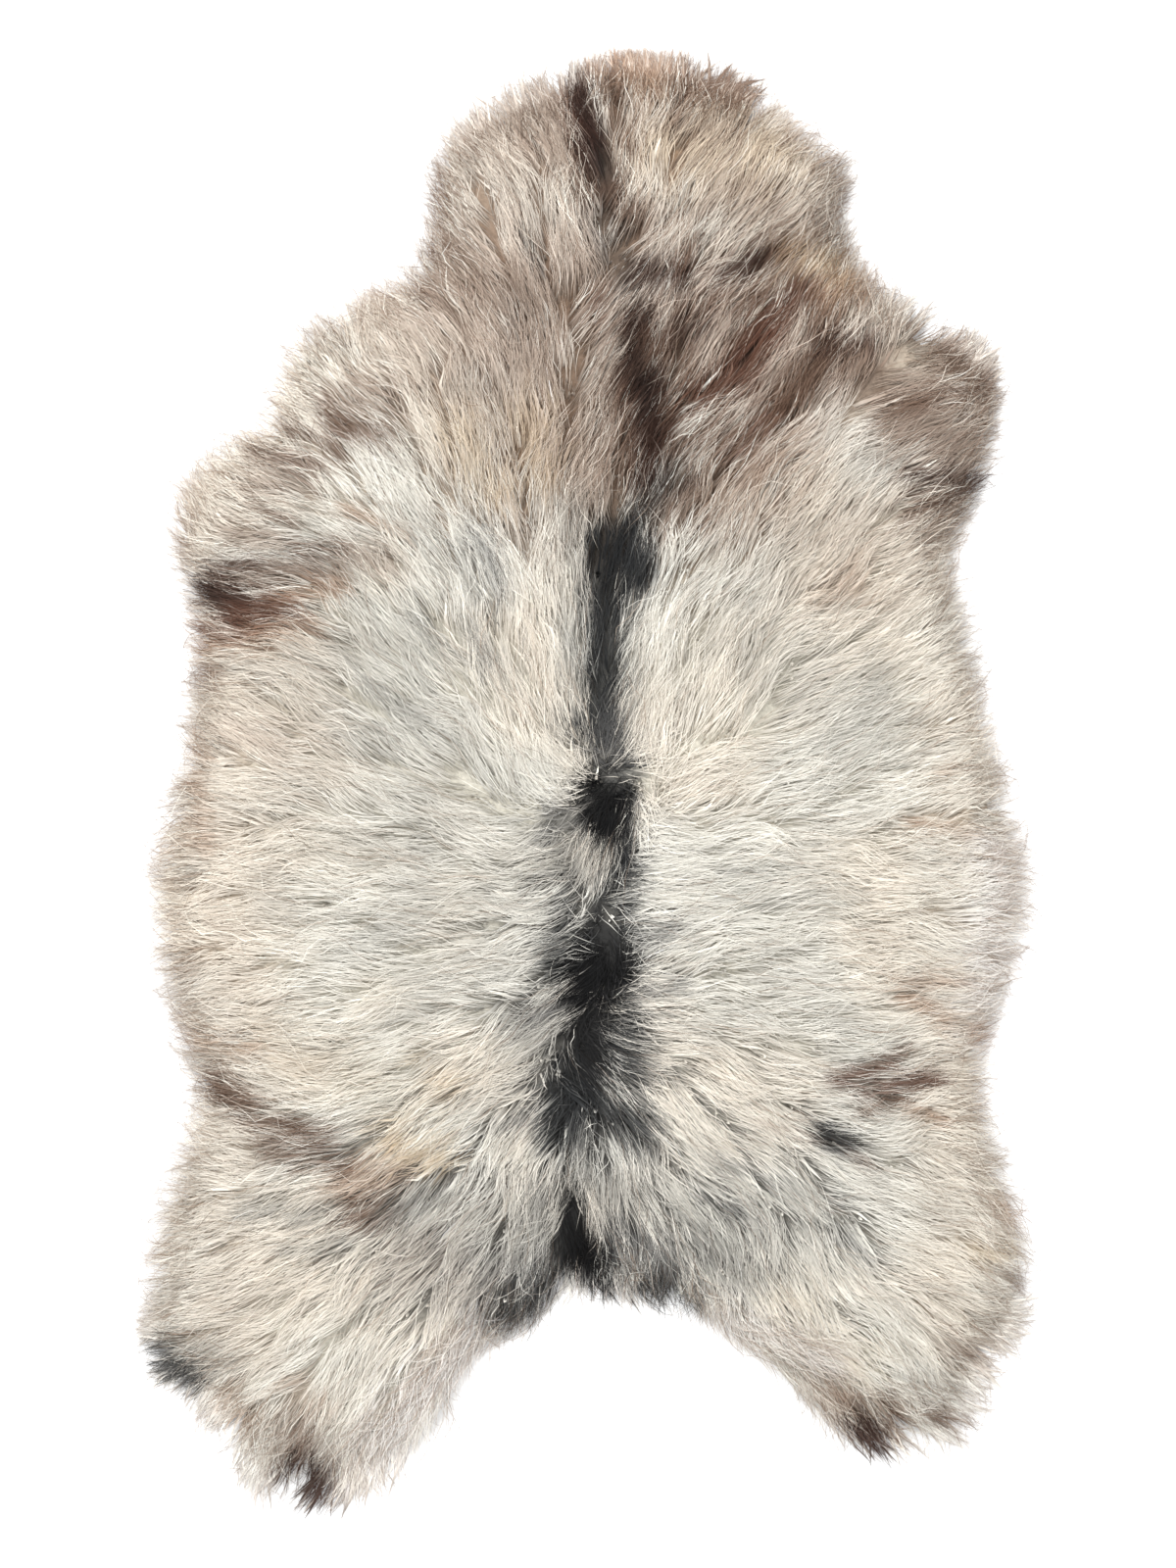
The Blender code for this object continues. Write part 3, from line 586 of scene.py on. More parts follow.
def distance_to(points, line):
    """How far each point is from the nearest point of a closed line."""
    along = np.roll(line, -1, axis=0) - line
    lengths = (along**2).sum(axis=1)

    def nearest(part):
        offset = part[:, None] - line[None]
        share = np.clip((offset * along).sum(axis=2) / lengths, 0, 1)
        return np.linalg.norm(offset - along * share[..., None], axis=2).min(axis=1)

    return in_parts(points, nearest)


def inside(points, line):
    """Which points lie inside a closed line: a ray towards +X crosses it an odd number of times."""
    x0, y0 = line.T
    x1, y1 = np.roll(line, -1, axis=0).T
    rise = np.where(y1 == y0, 1.0, y1 - y0)

    def crossed_oddly(part):
        x, y = part[:, 0, None], part[:, 1, None]
        crossing = x0 + (y - y0) / rise * (x1 - x0)
        return (((y0 > y) != (y1 > y)) & (x < crossing)).sum(axis=1) % 2 == 1

    return in_parts(points, crossed_oddly)


class Pelt:
    """What the wool needs to know of the solids: the hide's edge, the fleece's height and
    footprint over the plan, and the way the wool is combed."""

    def __init__(self):
        self.edge = self.read_edge()
        heights = self.read_fleece()
        covered = (heights.values > 0).astype(float)
        smooth = blurred(heights.values, HEIGHT_ROUNDS)
        self.height = PlanGrid(heights.low, heights.cell, smooth)
        self.footprint = PlanGrid(heights.low, heights.cell, blurred(covered, SHARP_ROUNDS))
        self.soft_footprint = PlanGrid(heights.low, heights.cell, blurred(covered, SOFT_ROUNDS))
        self.combing = self.read_combing()

    def read_edge(self):
        """The hide's cut edge, in order round its middle, from the hide's own corners."""
        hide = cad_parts["hide"].data
        corners = np.empty(len(hide.vertices) * 3, np.float32)
        hide.vertices.foreach_get("co", corners)
        plan = np.unique(np.round(corners.reshape(-1, 3)[:, :2], 5), axis=0)
        return plan[np.argsort(np.arctan2(plan[:, 1], plan[:, 0]))]

    def read_fleece(self):
        """The fleece's height over the plan, by looking down on it at each cell."""
        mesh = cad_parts["fleece"].data
        corners = [vertex.co for vertex in mesh.vertices]
        tree = BVHTree.FromPolygons(corners, [tuple(face.vertices) for face in mesh.polygons])
        margin = 8 * PLAN_CELL
        low = np.array(FLEECE_LOW[:2]) - margin
        high = np.array(FLEECE_HIGH[:2]) + margin
        columns, rows = np.ceil((high - low) / PLAN_CELL).astype(int) + 1
        above = FLEECE_HIGH[2] + margin
        down = Vector((0, 0, -1))
        heights = np.zeros((rows, columns))
        for j in range(rows):
            y = low[1] + j * PLAN_CELL
            for i in range(columns):
                hit = tree.ray_cast(Vector((low[0] + i * PLAN_CELL, y, above)), down)[0]
                if hit:
                    heights[j, i] = hit.z
        return PlanGrid(low, PLAN_CELL, heights)

    def read_combing(self):
        """Unit headings over the plan: each charted heading weighs by its nearness, with a
        faint pull outwards from the middle of the back, and a smooth random sway on top."""
        rows = [row for part in COMBING.values() for row in part]
        x, y, heading = np.array(rows, float).T
        places = from_photo(x, y)
        ways = np.stack([np.cos(np.radians(heading)), np.sin(np.radians(heading))], axis=1)
        low = np.array(FLEECE_LOW[:2]) - COMBING_CELL
        high = np.array(FLEECE_HIGH[:2]) + COMBING_CELL
        xs = np.arange(low[0], high[0] + COMBING_CELL, COMBING_CELL)
        ys = np.arange(low[1], high[1] + COMBING_CELL, COMBING_CELL)
        cells = np.stack(np.meshgrid(xs, ys), axis=-1)
        away = ((cells[:, :, None] - places) ** 2).sum(axis=-1) / (2 * COMBING_SPREAD**2)
        outwards = unit(cells - from_photo(*COMBING_MIDDLE))
        summed = (np.exp(-away)[..., None] * ways).sum(axis=2) + OUTWARD_PULL * outwards
        coarse, fine = grain(cells, SWAY_COARSE, SEED + 6), grain(cells, SWAY_FINE, SEED + 7)
        sway = (coarse + fine - 1) * COMBING_SWAY
        return PlanGrid(low, COMBING_CELL, turned_by(unit(summed), sway))


@functools.cache
def the_pelt():
    """The pelt, read once."""
    return Pelt()


def scattered(count, pelt, seed):
    """Points all over the hide, one drawn in each cell of a square lattice."""
    draw = np.random.default_rng(seed)
    low, high = pelt.edge.min(axis=0), pelt.edge.max(axis=0)
    pitch = math.sqrt(flat_area(pelt.edge) / count)
    corner = lattice(low, high, pitch)[2]
    points = low + (corner + draw.random(corner.shape)) * pitch
    return points[inside(points, pelt.edge)]


def thin_places(paths, pelt, count, draw):
    """Points where paths cover the hide least: the paths' points are counted in square cells,
    and cells are drawn by the square of what they lack of enough cover, a share of the mean."""
    cell = 6 * MM
    low, high = pelt.edge.min(axis=0), pelt.edge.max(axis=0)
    columns, rows, corner = lattice(low, high, cell)
    place = np.floor((paths[:, 1:].reshape(-1, 2) - low) / cell).astype(int)
    place = place[((place >= 0) & (place < (columns, rows))).all(axis=1)]
    found = np.bincount(place[:, 1] * columns + place[:, 0], minlength=columns * rows)
    cover = blurred(found.reshape(rows, columns).astype(float), 3).ravel()
    on_hide = inside(low + (corner + 0.5) * cell, pelt.edge)
    lack = np.clip(ENOUGH_COVER - cover / cover[on_hide].mean(), 0, 1) ** 2 * on_hide
    drawn = draw.choice(len(corner), size=count, p=lack / lack.sum())
    return low + (corner[drawn] + draw.random((count, 2))) * cell


class Locks:
    """Leaders that strands gather round: one drawn in each cell of a square lattice over the
    pelt, each with its combed path and its own turn, wave, tone and lift. Given larger locks,
    the leaders gather round those in turn."""

    def __init__(self, pelt, pitch, length, seed, stray, wave, larger=None, gather=0.0):
        draw = np.random.default_rng(seed)
        margin = pitch * 2
        self.pitch = pitch
        self.low = np.array(FLEECE_LOW[:2]) - margin
        high = np.array(FLEECE_HIGH[:2]) + margin
        self.columns, self.rows, corner = lattice(self.low, high, pitch)
        self.roots = self.low + (corner + draw.random(corner.shape)) * pitch
        count = len(self.roots)
        shares = np.linspace(0, 1, LOCK_STEPS + 1)[None].repeat(count, axis=0)
        if larger:
            self.paths = gathered(self.roots, larger, shares, np.full(count, gather))[0]
        else:
            lengths = length * draw.uniform(0.9, 1.1, count)
            self.paths = combed_paths(self.roots, lengths, pelt.combing, LOCK_STEPS)
        self.paths = turned(self.paths, draw.normal(0.0, stray, count))
        self.paths = curled(self.paths, draw.normal(0.0, 3 * stray, count))
        swing = wave * draw.uniform(0.3, 1.3, count)
        waves = draw.uniform(0.8, 1.6, count)
        self.paths = waved(self.paths, shares, swing, waves, draw.uniform(0, 2 * math.pi, count))
        self.tone = draw.normal(0.0, 1.0, count)
        self.lift = draw.normal(0.0, 1.0, count)
        self.shift = draw.normal(0.0, 1.0, (count, 2))

    def nearest(self, points):
        """The leader nearest to each point, among those of its own cell and the eight round it."""
        cell = np.floor((points - self.low) / self.pitch).astype(int)
        best = np.full(len(points), np.inf)
        found = np.zeros(len(points), int)
        for dy in (-1, 0, 1):
            for dx in (-1, 0, 1):
                i = np.clip(cell[:, 0] + dx, 0, self.columns - 1)
                j = np.clip(cell[:, 1] + dy, 0, self.rows - 1)
                index = j * self.columns + i
                away = np.linalg.norm(points - self.roots[index], axis=1)
                nearer = away < best
                best[nearer] = away[nearer]
                found[nearer] = index[nearer]
        return found


@functools.cache
def the_locks():
    """The locks of the long wool, gathered in tufts, made once."""
    settings = bpy.context.scene.sheepskin_coats
    pelt = the_pelt()
    tufts = Locks(pelt, settings.tuft_pitch, LOCK_LENGTH, SEED + 3, stray=0.07, wave=2.2 * MM)
    return Locks(
        pelt, settings.lock_pitch, LOCK_LENGTH, SEED + 4, stray=0.06, wave=1.1 * MM,
        larger=tufts, gather=settings.tuft_gather,
    )


def combed_paths(roots, lengths, combing, steps):
    """Paths that follow the combing: from each root, equal steps along the heading there."""
    paths = [roots]
    for _ in range(steps):
        paths.append(paths[-1] + unit(combing.at(paths[-1])) * (lengths / steps)[:, None])
    return np.stack(paths, axis=1)


def turned_by(ways, angles):
    """Directions turned by angles."""
    c, s = np.cos(angles), np.sin(angles)
    x, y = ways[..., 0], ways[..., 1]
    return np.stack([x * c - y * s, x * s + y * c], axis=-1)


def turned(paths, angles):
    """Paths turned about their roots."""
    return paths[:, :1] + turned_by(paths - paths[:, :1], angles[:, None])


def curled(paths, angles):
    """Paths that bend more and more towards their tips: each step is turned by the angle times
    its share of the way to the power 1.5."""
    steps = np.diff(paths, axis=1)
    shares = np.linspace(0, 1, steps.shape[1]) ** 1.5
    bent = np.cumsum(turned_by(steps, angles[:, None] * shares), axis=1)
    return np.concatenate([paths[:, :1], paths[:, :1] + bent], axis=1)


def read_along(paths, shares):
    """Points at shares of each path's way, 0 to 1, by interpolation, and straight on past its
    end."""
    steps = paths.shape[1] - 1
    place = shares * steps
    low = np.clip(place.astype(int), 0, steps - 1)
    part = (place - low)[..., None]
    index = np.arange(len(paths))[:, None]
    return paths[index, low] * (1 - part) + paths[index, low + 1] * part


def gathered(roots, locks, shares, gather):
    """Paths beside their leaders' paths, which they near towards the tip: the offset from the
    leader shrinks by gather times the share of the way to the power 1.4."""
    leader = locks.nearest(roots)
    offset = (roots - locks.roots[leader])[:, None]
    paths = read_along(locks.paths[leader], shares)
    stand = 1 - gather[:, None, None] * np.clip(shares, 0, 1)[..., None] ** 1.4
    return paths + offset * stand, leader, offset[:, 0]


def waved(paths, shares, amplitude, waves, phase):
    """Paths swung from side to side by a sine that grows from the root."""
    along = unit(np.gradient(paths, axis=1))
    across = np.stack([along[..., 1], -along[..., 0]], axis=-1)
    angle = shares * waves[:, None] * 2 * math.pi + phase[:, None]
    swing = (np.sin(angle) - np.sin(phase)[:, None]) * amplitude[:, None] * ease(shares * 1.5)
    return paths + across * swing[..., None]


def rim_ends(rim, count, draw):
    """Values of the softened footprint where strands end: from the least, over a span, by a
    random share to a power, below 1 so that few strands reach far out."""
    least, span, power = rim
    return least + span * draw.random(count) ** power


def far_ends(roots, combing):
    """Which roots grow the pelt's longest tips, 0 to 1: those whose wool points at one of the
    charted long tips. A place ahead of the root is taken, and its distance to the nearest tip
    counts fully up to 0.6 of the reach and no longer at 1.6 times the reach."""
    ahead = roots + unit(combing.at(roots)) * TIP_AHEAD
    tips = from_photo(*np.array(LONG_TIPS, float).T)
    away = np.linalg.norm(ahead[:, None] - tips[None], axis=2).min(axis=1)
    return ease(1.6 - away / TIP_REACH)


def cut_at_rim(paths, pelt, least, kept, far):
    """Paths shortened to end where they leave the pelt: where the softened footprint falls
    below each path's least value, and the sharp one, which keeps the rim's pointed locks,
    below each path's kept value. The least value has a floor, lower for the longest tips, and
    no path leaves the solids' box by more than the rim's spare room."""
    count = len(paths)
    fine = np.linspace(0, 1, 3 * (paths.shape[1] - 1) + 1)[None].repeat(count, axis=0)
    places = read_along(paths, fine)
    least = np.maximum(least, LEAST_FLOOR - LEAST_DROP * far)[:, None]
    out = (pelt.soft_footprint.at(places) < least) & (pelt.footprint.at(places) < kept[:, None])
    over = np.abs(places - FLEECE_MIDDLE) - FLEECE_HALF
    out |= (over > RIM_SPARE).any(axis=-1)
    first = np.where(out.any(axis=1), out.argmax(axis=1) / (fine.shape[1] - 1), 1.0)
    limit = np.clip(first, SHORTEST_SHARE, 1.0)
    steps = np.linspace(0, 1, paths.shape[1])[None] * limit[:, None]
    return read_along(paths, steps)


def chart_colour(points, ground, chart, stray=0.0):
    """Linear colours at points: the ground tone, and over it each marking of the chart, full
    within its half width of its middle line and fading over its softness, sooner or later by
    stray. Tones are mixed as they are seen on a screen."""
    colour = np.empty(points.shape[:-1] + (3,))
    colour[:] = ground
    ragged = 1.1 * (grain(points, 8 * MM, SEED + 1) - 0.5) + stray
    for _, tone, fullness, half_width, soft, x0, y0, x1, y1 in chart:
        start = from_photo(x0, y0)
        along = from_photo(x1, y1) - start
        half_width, soft = half_width * PIXEL, soft * PIXEL
        reach = np.abs(along) / 2 + half_width + 3 * soft
        near = (np.abs(points - start - along / 2) < reach).all(axis=-1)
        offset = points[near] - start
        share = np.clip(offset @ along / (along @ along), 0, 1)[:, None]
        past = (np.linalg.norm(offset - share * along, axis=1) - half_width) / soft + ragged[near]
        cover = fullness / (1 + np.exp(np.clip(past * 3.2, -30, 30)))
        colour[near] += (np.array(TONES[tone]) - colour[near]) * cover[:, None]
    return linear(colour)


def ribbon_vertices(spine, widths, roll):
    """Left and right edge points of each ribbon along its spine, and its tip.

    The edges stand half a width to each side, square to the spine. The side is level, and then
    turned about the spine by the roll."""
    tangent = unit(np.gradient(spine, axis=1))
    level = unit(np.cross(tangent, (0.0, 0.0, 1.0)))
    upright = np.cross(level, tangent)
    side = level * np.cos(roll)[..., None] + upright * np.sin(roll)[..., None]
    half = side * widths[..., None] / 2
    pairs = np.stack([spine - half, spine + half], axis=2)[:, :-1]
    count, steps = spine.shape[0], spine.shape[1] - 1
    return np.concatenate([pairs.reshape(count, steps * 2, 3), spine[:, -1:]], axis=1)


def ribbon_faces(count, steps):
    """Quads up each ribbon and a triangle at its tip, as corner indices and corner totals."""
    points = 2 * steps + 1
    k = np.arange(steps - 1) * 2
    quads = np.stack([k, k + 1, k + 3, k + 2], axis=1).reshape(-1)
    one = np.concatenate([quads, [2 * steps - 2, 2 * steps - 1, 2 * steps]])
    corners = (np.arange(count)[:, None] * points + one).reshape(-1)
    totals = np.tile(np.r_[np.full(steps - 1, 4), 3], count)
    return corners, totals


def ribbon_bake_places(count, steps):
    """A place of its own for each ribbon on the picture that colours are kept in: one cell of
    a lattice, four times as tall as wide, with a gap round the ribbon."""
    columns = math.ceil(math.sqrt(count * 4))
    rows = math.ceil(count / columns)
    index = np.arange(count)
    corner = np.stack([index % columns, index // columns], axis=1)
    beside, above = RIBBON_GAPS
    v = np.arange(steps + 1) / steps * (1 - 2 * above) + above
    left = np.stack([np.full(steps, beside), v[:-1]], axis=1)
    right = np.stack([np.full(steps, 1 - beside), v[:-1]], axis=1)
    one = np.concatenate([np.stack([left, right], axis=1).reshape(-1, 2), [[0.5, v[-1]]]])
    return (corner[:, None] + one) / (columns, rows)


def new_mesh(name, vertices, corners, totals):
    """A mesh object at the origin from arrays, smooth, in the scene's collection."""
    mesh = bpy.data.meshes.new(name)
    mesh.vertices.add(len(vertices))
    mesh.vertices.foreach_set("co", vertices.astype(np.float32).ravel())
    mesh.loops.add(len(corners))
    mesh.loops.foreach_set("vertex_index", corners.astype(np.int32))
    mesh.polygons.add(len(totals))
    starts = np.concatenate([[0], np.cumsum(totals)[:-1]])
    mesh.polygons.foreach_set("loop_start", starts.astype(np.int32))
    mesh.update(calc_edges=True)
    mesh.shade_smooth()
    piece = bpy.data.objects.new(name, mesh)
    bpy.context.scene.collection.objects.link(piece)
    return piece


def set_map(mesh, name, places, corners):
    """A UV map from one place for each vertex."""
    layer = mesh.uv_layers.new(name=name)
    layer.uv.foreach_set("vector", places[corners].astype(np.float32).ravel())


def set_colours(mesh, colours):
    """The wool's colour at each vertex."""
    layer = mesh.color_attributes.new("wool_colour", "FLOAT_COLOR", "POINT")
    opaque = np.concatenate([colours, np.ones((len(colours), 1))], axis=1)
    layer.data.foreach_set("color", opaque.astype(np.float32).ravel())


def ribbon_piece(name, spine, widths, roll, colours, material):
    """One piece of many ribbon strands, with its colours and maps, riding on the pelt."""
    count, steps = spine.shape[0], spine.shape[1] - 1
    vertices = ribbon_vertices(spine, widths, roll)
    vertices[..., 2] = np.maximum(vertices[..., 2], FLOOR_CLEARANCE)
    corners, totals = ribbon_faces(count, steps)
    piece = new_mesh(name, vertices.reshape(-1, 3), corners, totals)
    paired = np.concatenate([np.repeat(colours[:, :-1], 2, axis=1), colours[:, -1:]], axis=1)
    set_colours(piece.data, paired.reshape(-1, 3))
    set_map(piece.data, "OFBake", ribbon_bake_places(count, steps).reshape(-1, 2), corners)
    lengths = np.linalg.norm(np.diff(spine, axis=1), axis=2).cumsum(axis=1)
    along = np.concatenate([np.zeros((count, 1)), lengths], axis=1)
    offset = np.random.default_rng(SEED).random(count)[:, None]
    left = np.stack([offset.repeat(steps + 1, axis=1), along + offset], axis=-1)
    right = np.stack([offset + widths, along + offset], axis=-1)
    sides = np.stack([left, right], axis=2)[:, :-1].reshape(count, steps * 2, 2)
    fibre = np.concatenate([sides, left[:, -1:]], axis=1).reshape(-1, 2)
    set_map(piece.data, "Fibre", fibre, corners)
    piece.data.materials.append(material)
    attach(piece, "root")
    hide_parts("fleece")


def set_inputs(node, values):
    """Values for a node's sockets, by their names."""
    for socket, value in values.items():
        node.inputs[socket].default_value = value


def node_group(name, inputs, outputs):
    """A new shader node group with named sockets, and its input and output nodes."""
    group = bpy.data.node_groups.new(name, "ShaderNodeTree")
    for socket, kind, default in inputs:
        made = group.interface.new_socket(name=socket, in_out="INPUT", socket_type=kind)
        if default is not None:
            made.default_value = default
    for socket, kind in outputs:
        group.interface.new_socket(name=socket, in_out="OUTPUT", socket_type=kind)
    return group, group.nodes.new("NodeGroupInput"), group.nodes.new("NodeGroupOutput")


def fibre_grain_group():
    """Fine streaks of tone and height from stretched noise: Vector is scaled by Stretch, and
    read by a noise with finer detail in it. Tone lies round 1 by Contrast, Height from 0 to 1."""
    group = bpy.data.node_groups.get("fibre_grain")
    if group:
        return group
    inputs = (
        ("Vector", "NodeSocketVector", None),
        ("Stretch", "NodeSocketVector", (1.0, 1.0, 1.0)),
        ("Scale", "NodeSocketFloat", 100.0),
        ("Contrast", "NodeSocketFloat", 0.2),
    )
    outputs = (("Tone", "NodeSocketFloat"), ("Height", "NodeSocketFloat"))
    group, given, result = node_group("fibre_grain", inputs, outputs)
    links = group.links
    stretch = group.nodes.new("ShaderNodeVectorMath")
    stretch.operation = "MULTIPLY"
    links.new(given.outputs["Vector"], stretch.inputs[0])
    links.new(given.outputs["Stretch"], stretch.inputs[1])
    noise = group.nodes.new("ShaderNodeTexNoise")
    set_inputs(noise, {"Detail": 3.0, "Roughness": 0.6})
    links.new(stretch.outputs["Vector"], noise.inputs["Vector"])
    links.new(given.outputs["Scale"], noise.inputs["Scale"])
    centred = group.nodes.new("ShaderNodeMath")
    centred.operation = "SUBTRACT"
    links.new(noise.outputs["Fac"], centred.inputs[0])
    centred.inputs[1].default_value = 0.5
    tone = group.nodes.new("ShaderNodeMath")
    tone.operation = "MULTIPLY_ADD"
    links.new(centred.outputs["Value"], tone.inputs[0])
    links.new(given.outputs["Contrast"], tone.inputs[1])
    tone.inputs[2].default_value = 1.0
    links.new(tone.outputs["Value"], result.inputs["Tone"])
    links.new(noise.outputs["Fac"], result.inputs["Height"])
    return group


def new_material(name):
    """A new material, its node tree and its Principled shader."""
    material = bpy.data.materials.new(name)
    material.use_nodes = True
    return material, material.node_tree, material.node_tree.nodes["Principled BSDF"]


def toned(tree, colour, tone):
    """A colour multiplied by a tone."""
    scale = tree.nodes.new("ShaderNodeVectorMath")
    scale.operation = "SCALE"
    tree.links.new(colour, scale.inputs[0])
    tree.links.new(tone, scale.inputs["Scale"])
    return scale.outputs["Vector"]


def fibrous(tree, place, stretch, scale, contrast):
    """A node of fibre grain, read at a place."""
    fibres = tree.nodes.new("ShaderNodeGroup")
    fibres.node_tree = fibre_grain_group()
    set_inputs(fibres, {"Stretch": stretch, "Scale": scale, "Contrast": contrast})
    tree.links.new(place, fibres.inputs["Vector"])
    return fibres


def fit_shader(tree, shader, colour, fibres, bump_depth, bump_strength, surface):
    """A shader's colour toned by fibres, its bump from their height, and its surface values."""
    tree.links.new(toned(tree, colour, fibres.outputs["Tone"]), shader.inputs["Base Color"])
    bump = tree.nodes.new("ShaderNodeBump")
    set_inputs(bump, {"Strength": bump_strength, "Distance": bump_depth})
    tree.links.new(fibres.outputs["Height"], bump.inputs["Height"])
    tree.links.new(bump.outputs["Normal"], shader.inputs["Normal"])
    set_inputs(shader, surface)


def wool_colour(tree):
    """The wool's own colours, kept at the vertices."""
    colour = tree.nodes.new("ShaderNodeAttribute")
    colour.attribute_name = "wool_colour"
    return colour.outputs["Color"]


def strand_material(name, roughness, contrast):
    """Wool strands: the strand's own colours, with streaks along it that follow its map."""
    material, tree, shader = new_material(name)
    place = tree.nodes.new("ShaderNodeUVMap")
    place.uv_map = "Fibre"
    fibres = fibrous(tree, place.outputs["UV"], (6.0, 0.35, 1.0), 220.0, contrast)
    surface = {"Roughness": roughness, "Specular IOR Level": 0.1}
    fit_shader(tree, shader, wool_colour(tree), fibres, 0.2 * MM, 0.25, surface)
    return material


def undercoat_material():
    """Close, crimped undercoat: the charted colour, mottled, with a woolly bump."""
    material, tree, shader = new_material("undercoat_wool")
    place = tree.nodes.new("ShaderNodeTexCoord")
    fibres = fibrous(tree, place.outputs["Object"], (1.0, 1.0, 1.0), 260.0, 0.9)
    surface = {"Roughness": 0.9, "Specular IOR Level": 0.2}
    fit_shader(tree, shader, wool_colour(tree), fibres, 1.5 * MM, 0.8, surface)
    return material


def suede_material(settings):
    """Sueded flesh side: two skin tones mottled by broad noise, and a short nap by fine noise."""
    material, tree, shader = new_material("sueded_hide")
    place = tree.nodes.new("ShaderNodeTexCoord")
    patches = fibrous(tree, place.outputs["Object"], (1.0, 1.0, 1.0), 9.0, 0.2)
    nap = fibrous(tree, place.outputs["Object"], (1.0, 1.6, 1.0), 420.0, 0.35)
    mix = tree.nodes.new("ShaderNodeMix")
    mix.data_type = "RGBA"
    tree.links.new(patches.outputs["Height"], mix.inputs["Factor"])
    set_inputs(mix, {"A": (*settings.shade, 1.0), "B": (*settings.colour, 1.0)})
    surface = {"Roughness": 0.9, "Specular IOR Level": 0.2, "Sheen Weight": 0.3}
    fit_shader(tree, shader, mix.outputs["Result"], nap, 0.3 * MM, 0.5, surface)
    return material


class UndercoatSettings(bpy.types.PropertyGroup):
    """How high, how wide and how finely the undercoat is made"""

    height: FloatProperty(
        name="Height", description="Share of the fleece's height that the undercoat fills",
        default=0.62, min=0.2, max=0.9, subtype="FACTOR",
    )
    overhang: FloatProperty(
        name="Overhang", description="How far the undercoat reaches past the hide's edge",
        default=2 * MM, min=0.0, max=0.02, unit="LENGTH",
    )
    spokes: IntProperty(
        name="Spokes", description="Divisions round the undercoat", default=400, min=32, max=600,
    )
    rings: IntProperty(
        name="Rings", description="Divisions from its middle to its edge", default=48, min=8, max=80,
    )


class CoatSettings(bpy.types.PropertyGroup):
    """How many strands the coats have, their sizes, and how they gather"""

    top_strands: IntProperty(
        name="Top strands", description="Strands in the long outer coat",
        default=72000, min=1000, max=80000,
    )
    base_strands: IntProperty(
        name="Base locks", description="Broad locks in the coat below it",
        default=12000, min=1000, max=20000,
    )
    top_width: FloatProperty(
        name="Top width", description="Width of an outer strand",
        default=0.55 * MM, min=0.0002, max=0.003, unit="LENGTH",
    )
    base_width: FloatProperty(
        name="Base width", description="Width of a base lock",
        default=3.0 * MM, min=0.0005, max=0.01, unit="LENGTH",
    )
    top_length: FloatProperty(
        name="Top length", description="Length of the longest outer strands",
        default=64 * MM, min=0.02, max=0.12, unit="LENGTH",
    )
    base_length: FloatProperty(
        name="Base length", description="Length of the longest base locks",
        default=54 * MM, min=0.02, max=0.1, unit="LENGTH",
    )
    lock_pitch: FloatProperty(
        name="Lock pitch", description="Distance between the locks that strands gather in",
        default=13 * MM, min=0.004, max=0.04, unit="LENGTH",
    )
    tuft_pitch: FloatProperty(
        name="Tuft pitch", description="Distance between the tufts that locks gather in",
        default=36 * MM, min=0.01, max=0.1, unit="LENGTH",
    )
    tuft_gather: FloatProperty(
        name="Tuft gather", description="How far the locks of a tuft near each other at the tips",
        default=0.4, min=0.0, max=1.0, subtype="FACTOR",
    )


class WispSettings(bpy.types.PropertyGroup):
    """How many fine hairs grow at the rim and over the coat, and their sizes"""

    rim_wisps: IntProperty(
        name="Rim wisps", description="Fine curly strands round the rim",
        default=8000, min=100, max=17000,
    )
    guard_hairs: IntProperty(
        name="Guard hairs", description="Long stray hairs over the coat",
        default=7000, min=100, max=17000,
    )
    width: FloatProperty(
        name="Width", description="Width of a wisp", default=0.42 * MM,
        min=0.0001, max=0.002, unit="LENGTH",
    )
    band: FloatProperty(
        name="Band", description="How far inside the hide's edge the wisps start",
        default=28 * MM, min=0.005, max=0.06, unit="LENGTH",
    )


class HideSettings(bpy.types.PropertyGroup):
    """The two tones of the sueded flesh side"""

    colour: FloatVectorProperty(
        name="Suede", description="Colour of the sueded flesh side", subtype="COLOR",
        default=tuple(linear((0.86, 0.79, 0.69))), min=0.0, max=1.0,
    )
    shade: FloatVectorProperty(
        name="Suede shade", description="Colour of its darker mottling", subtype="COLOR",
        default=tuple(linear((0.76, 0.66, 0.54))), min=0.0, max=1.0,
    )


class StudioSettings(bpy.types.PropertyGroup):
    """The camera's lens and the strength of the lights"""

    lens: FloatProperty(
        name="Lens", description="Focal length of the camera", default=85.0,
        min=20.0, max=200.0, unit="CAMERA",
    )
    key_power: FloatProperty(
        name="Key light", description="Power of the large soft light", default=80.0,
        min=0.0, max=500.0, unit="POWER",
    )
    sky: FloatProperty(
        name="Surround", description="Strength of the even light from all round",
        default=1.1, min=0.0, max=4.0,
    )


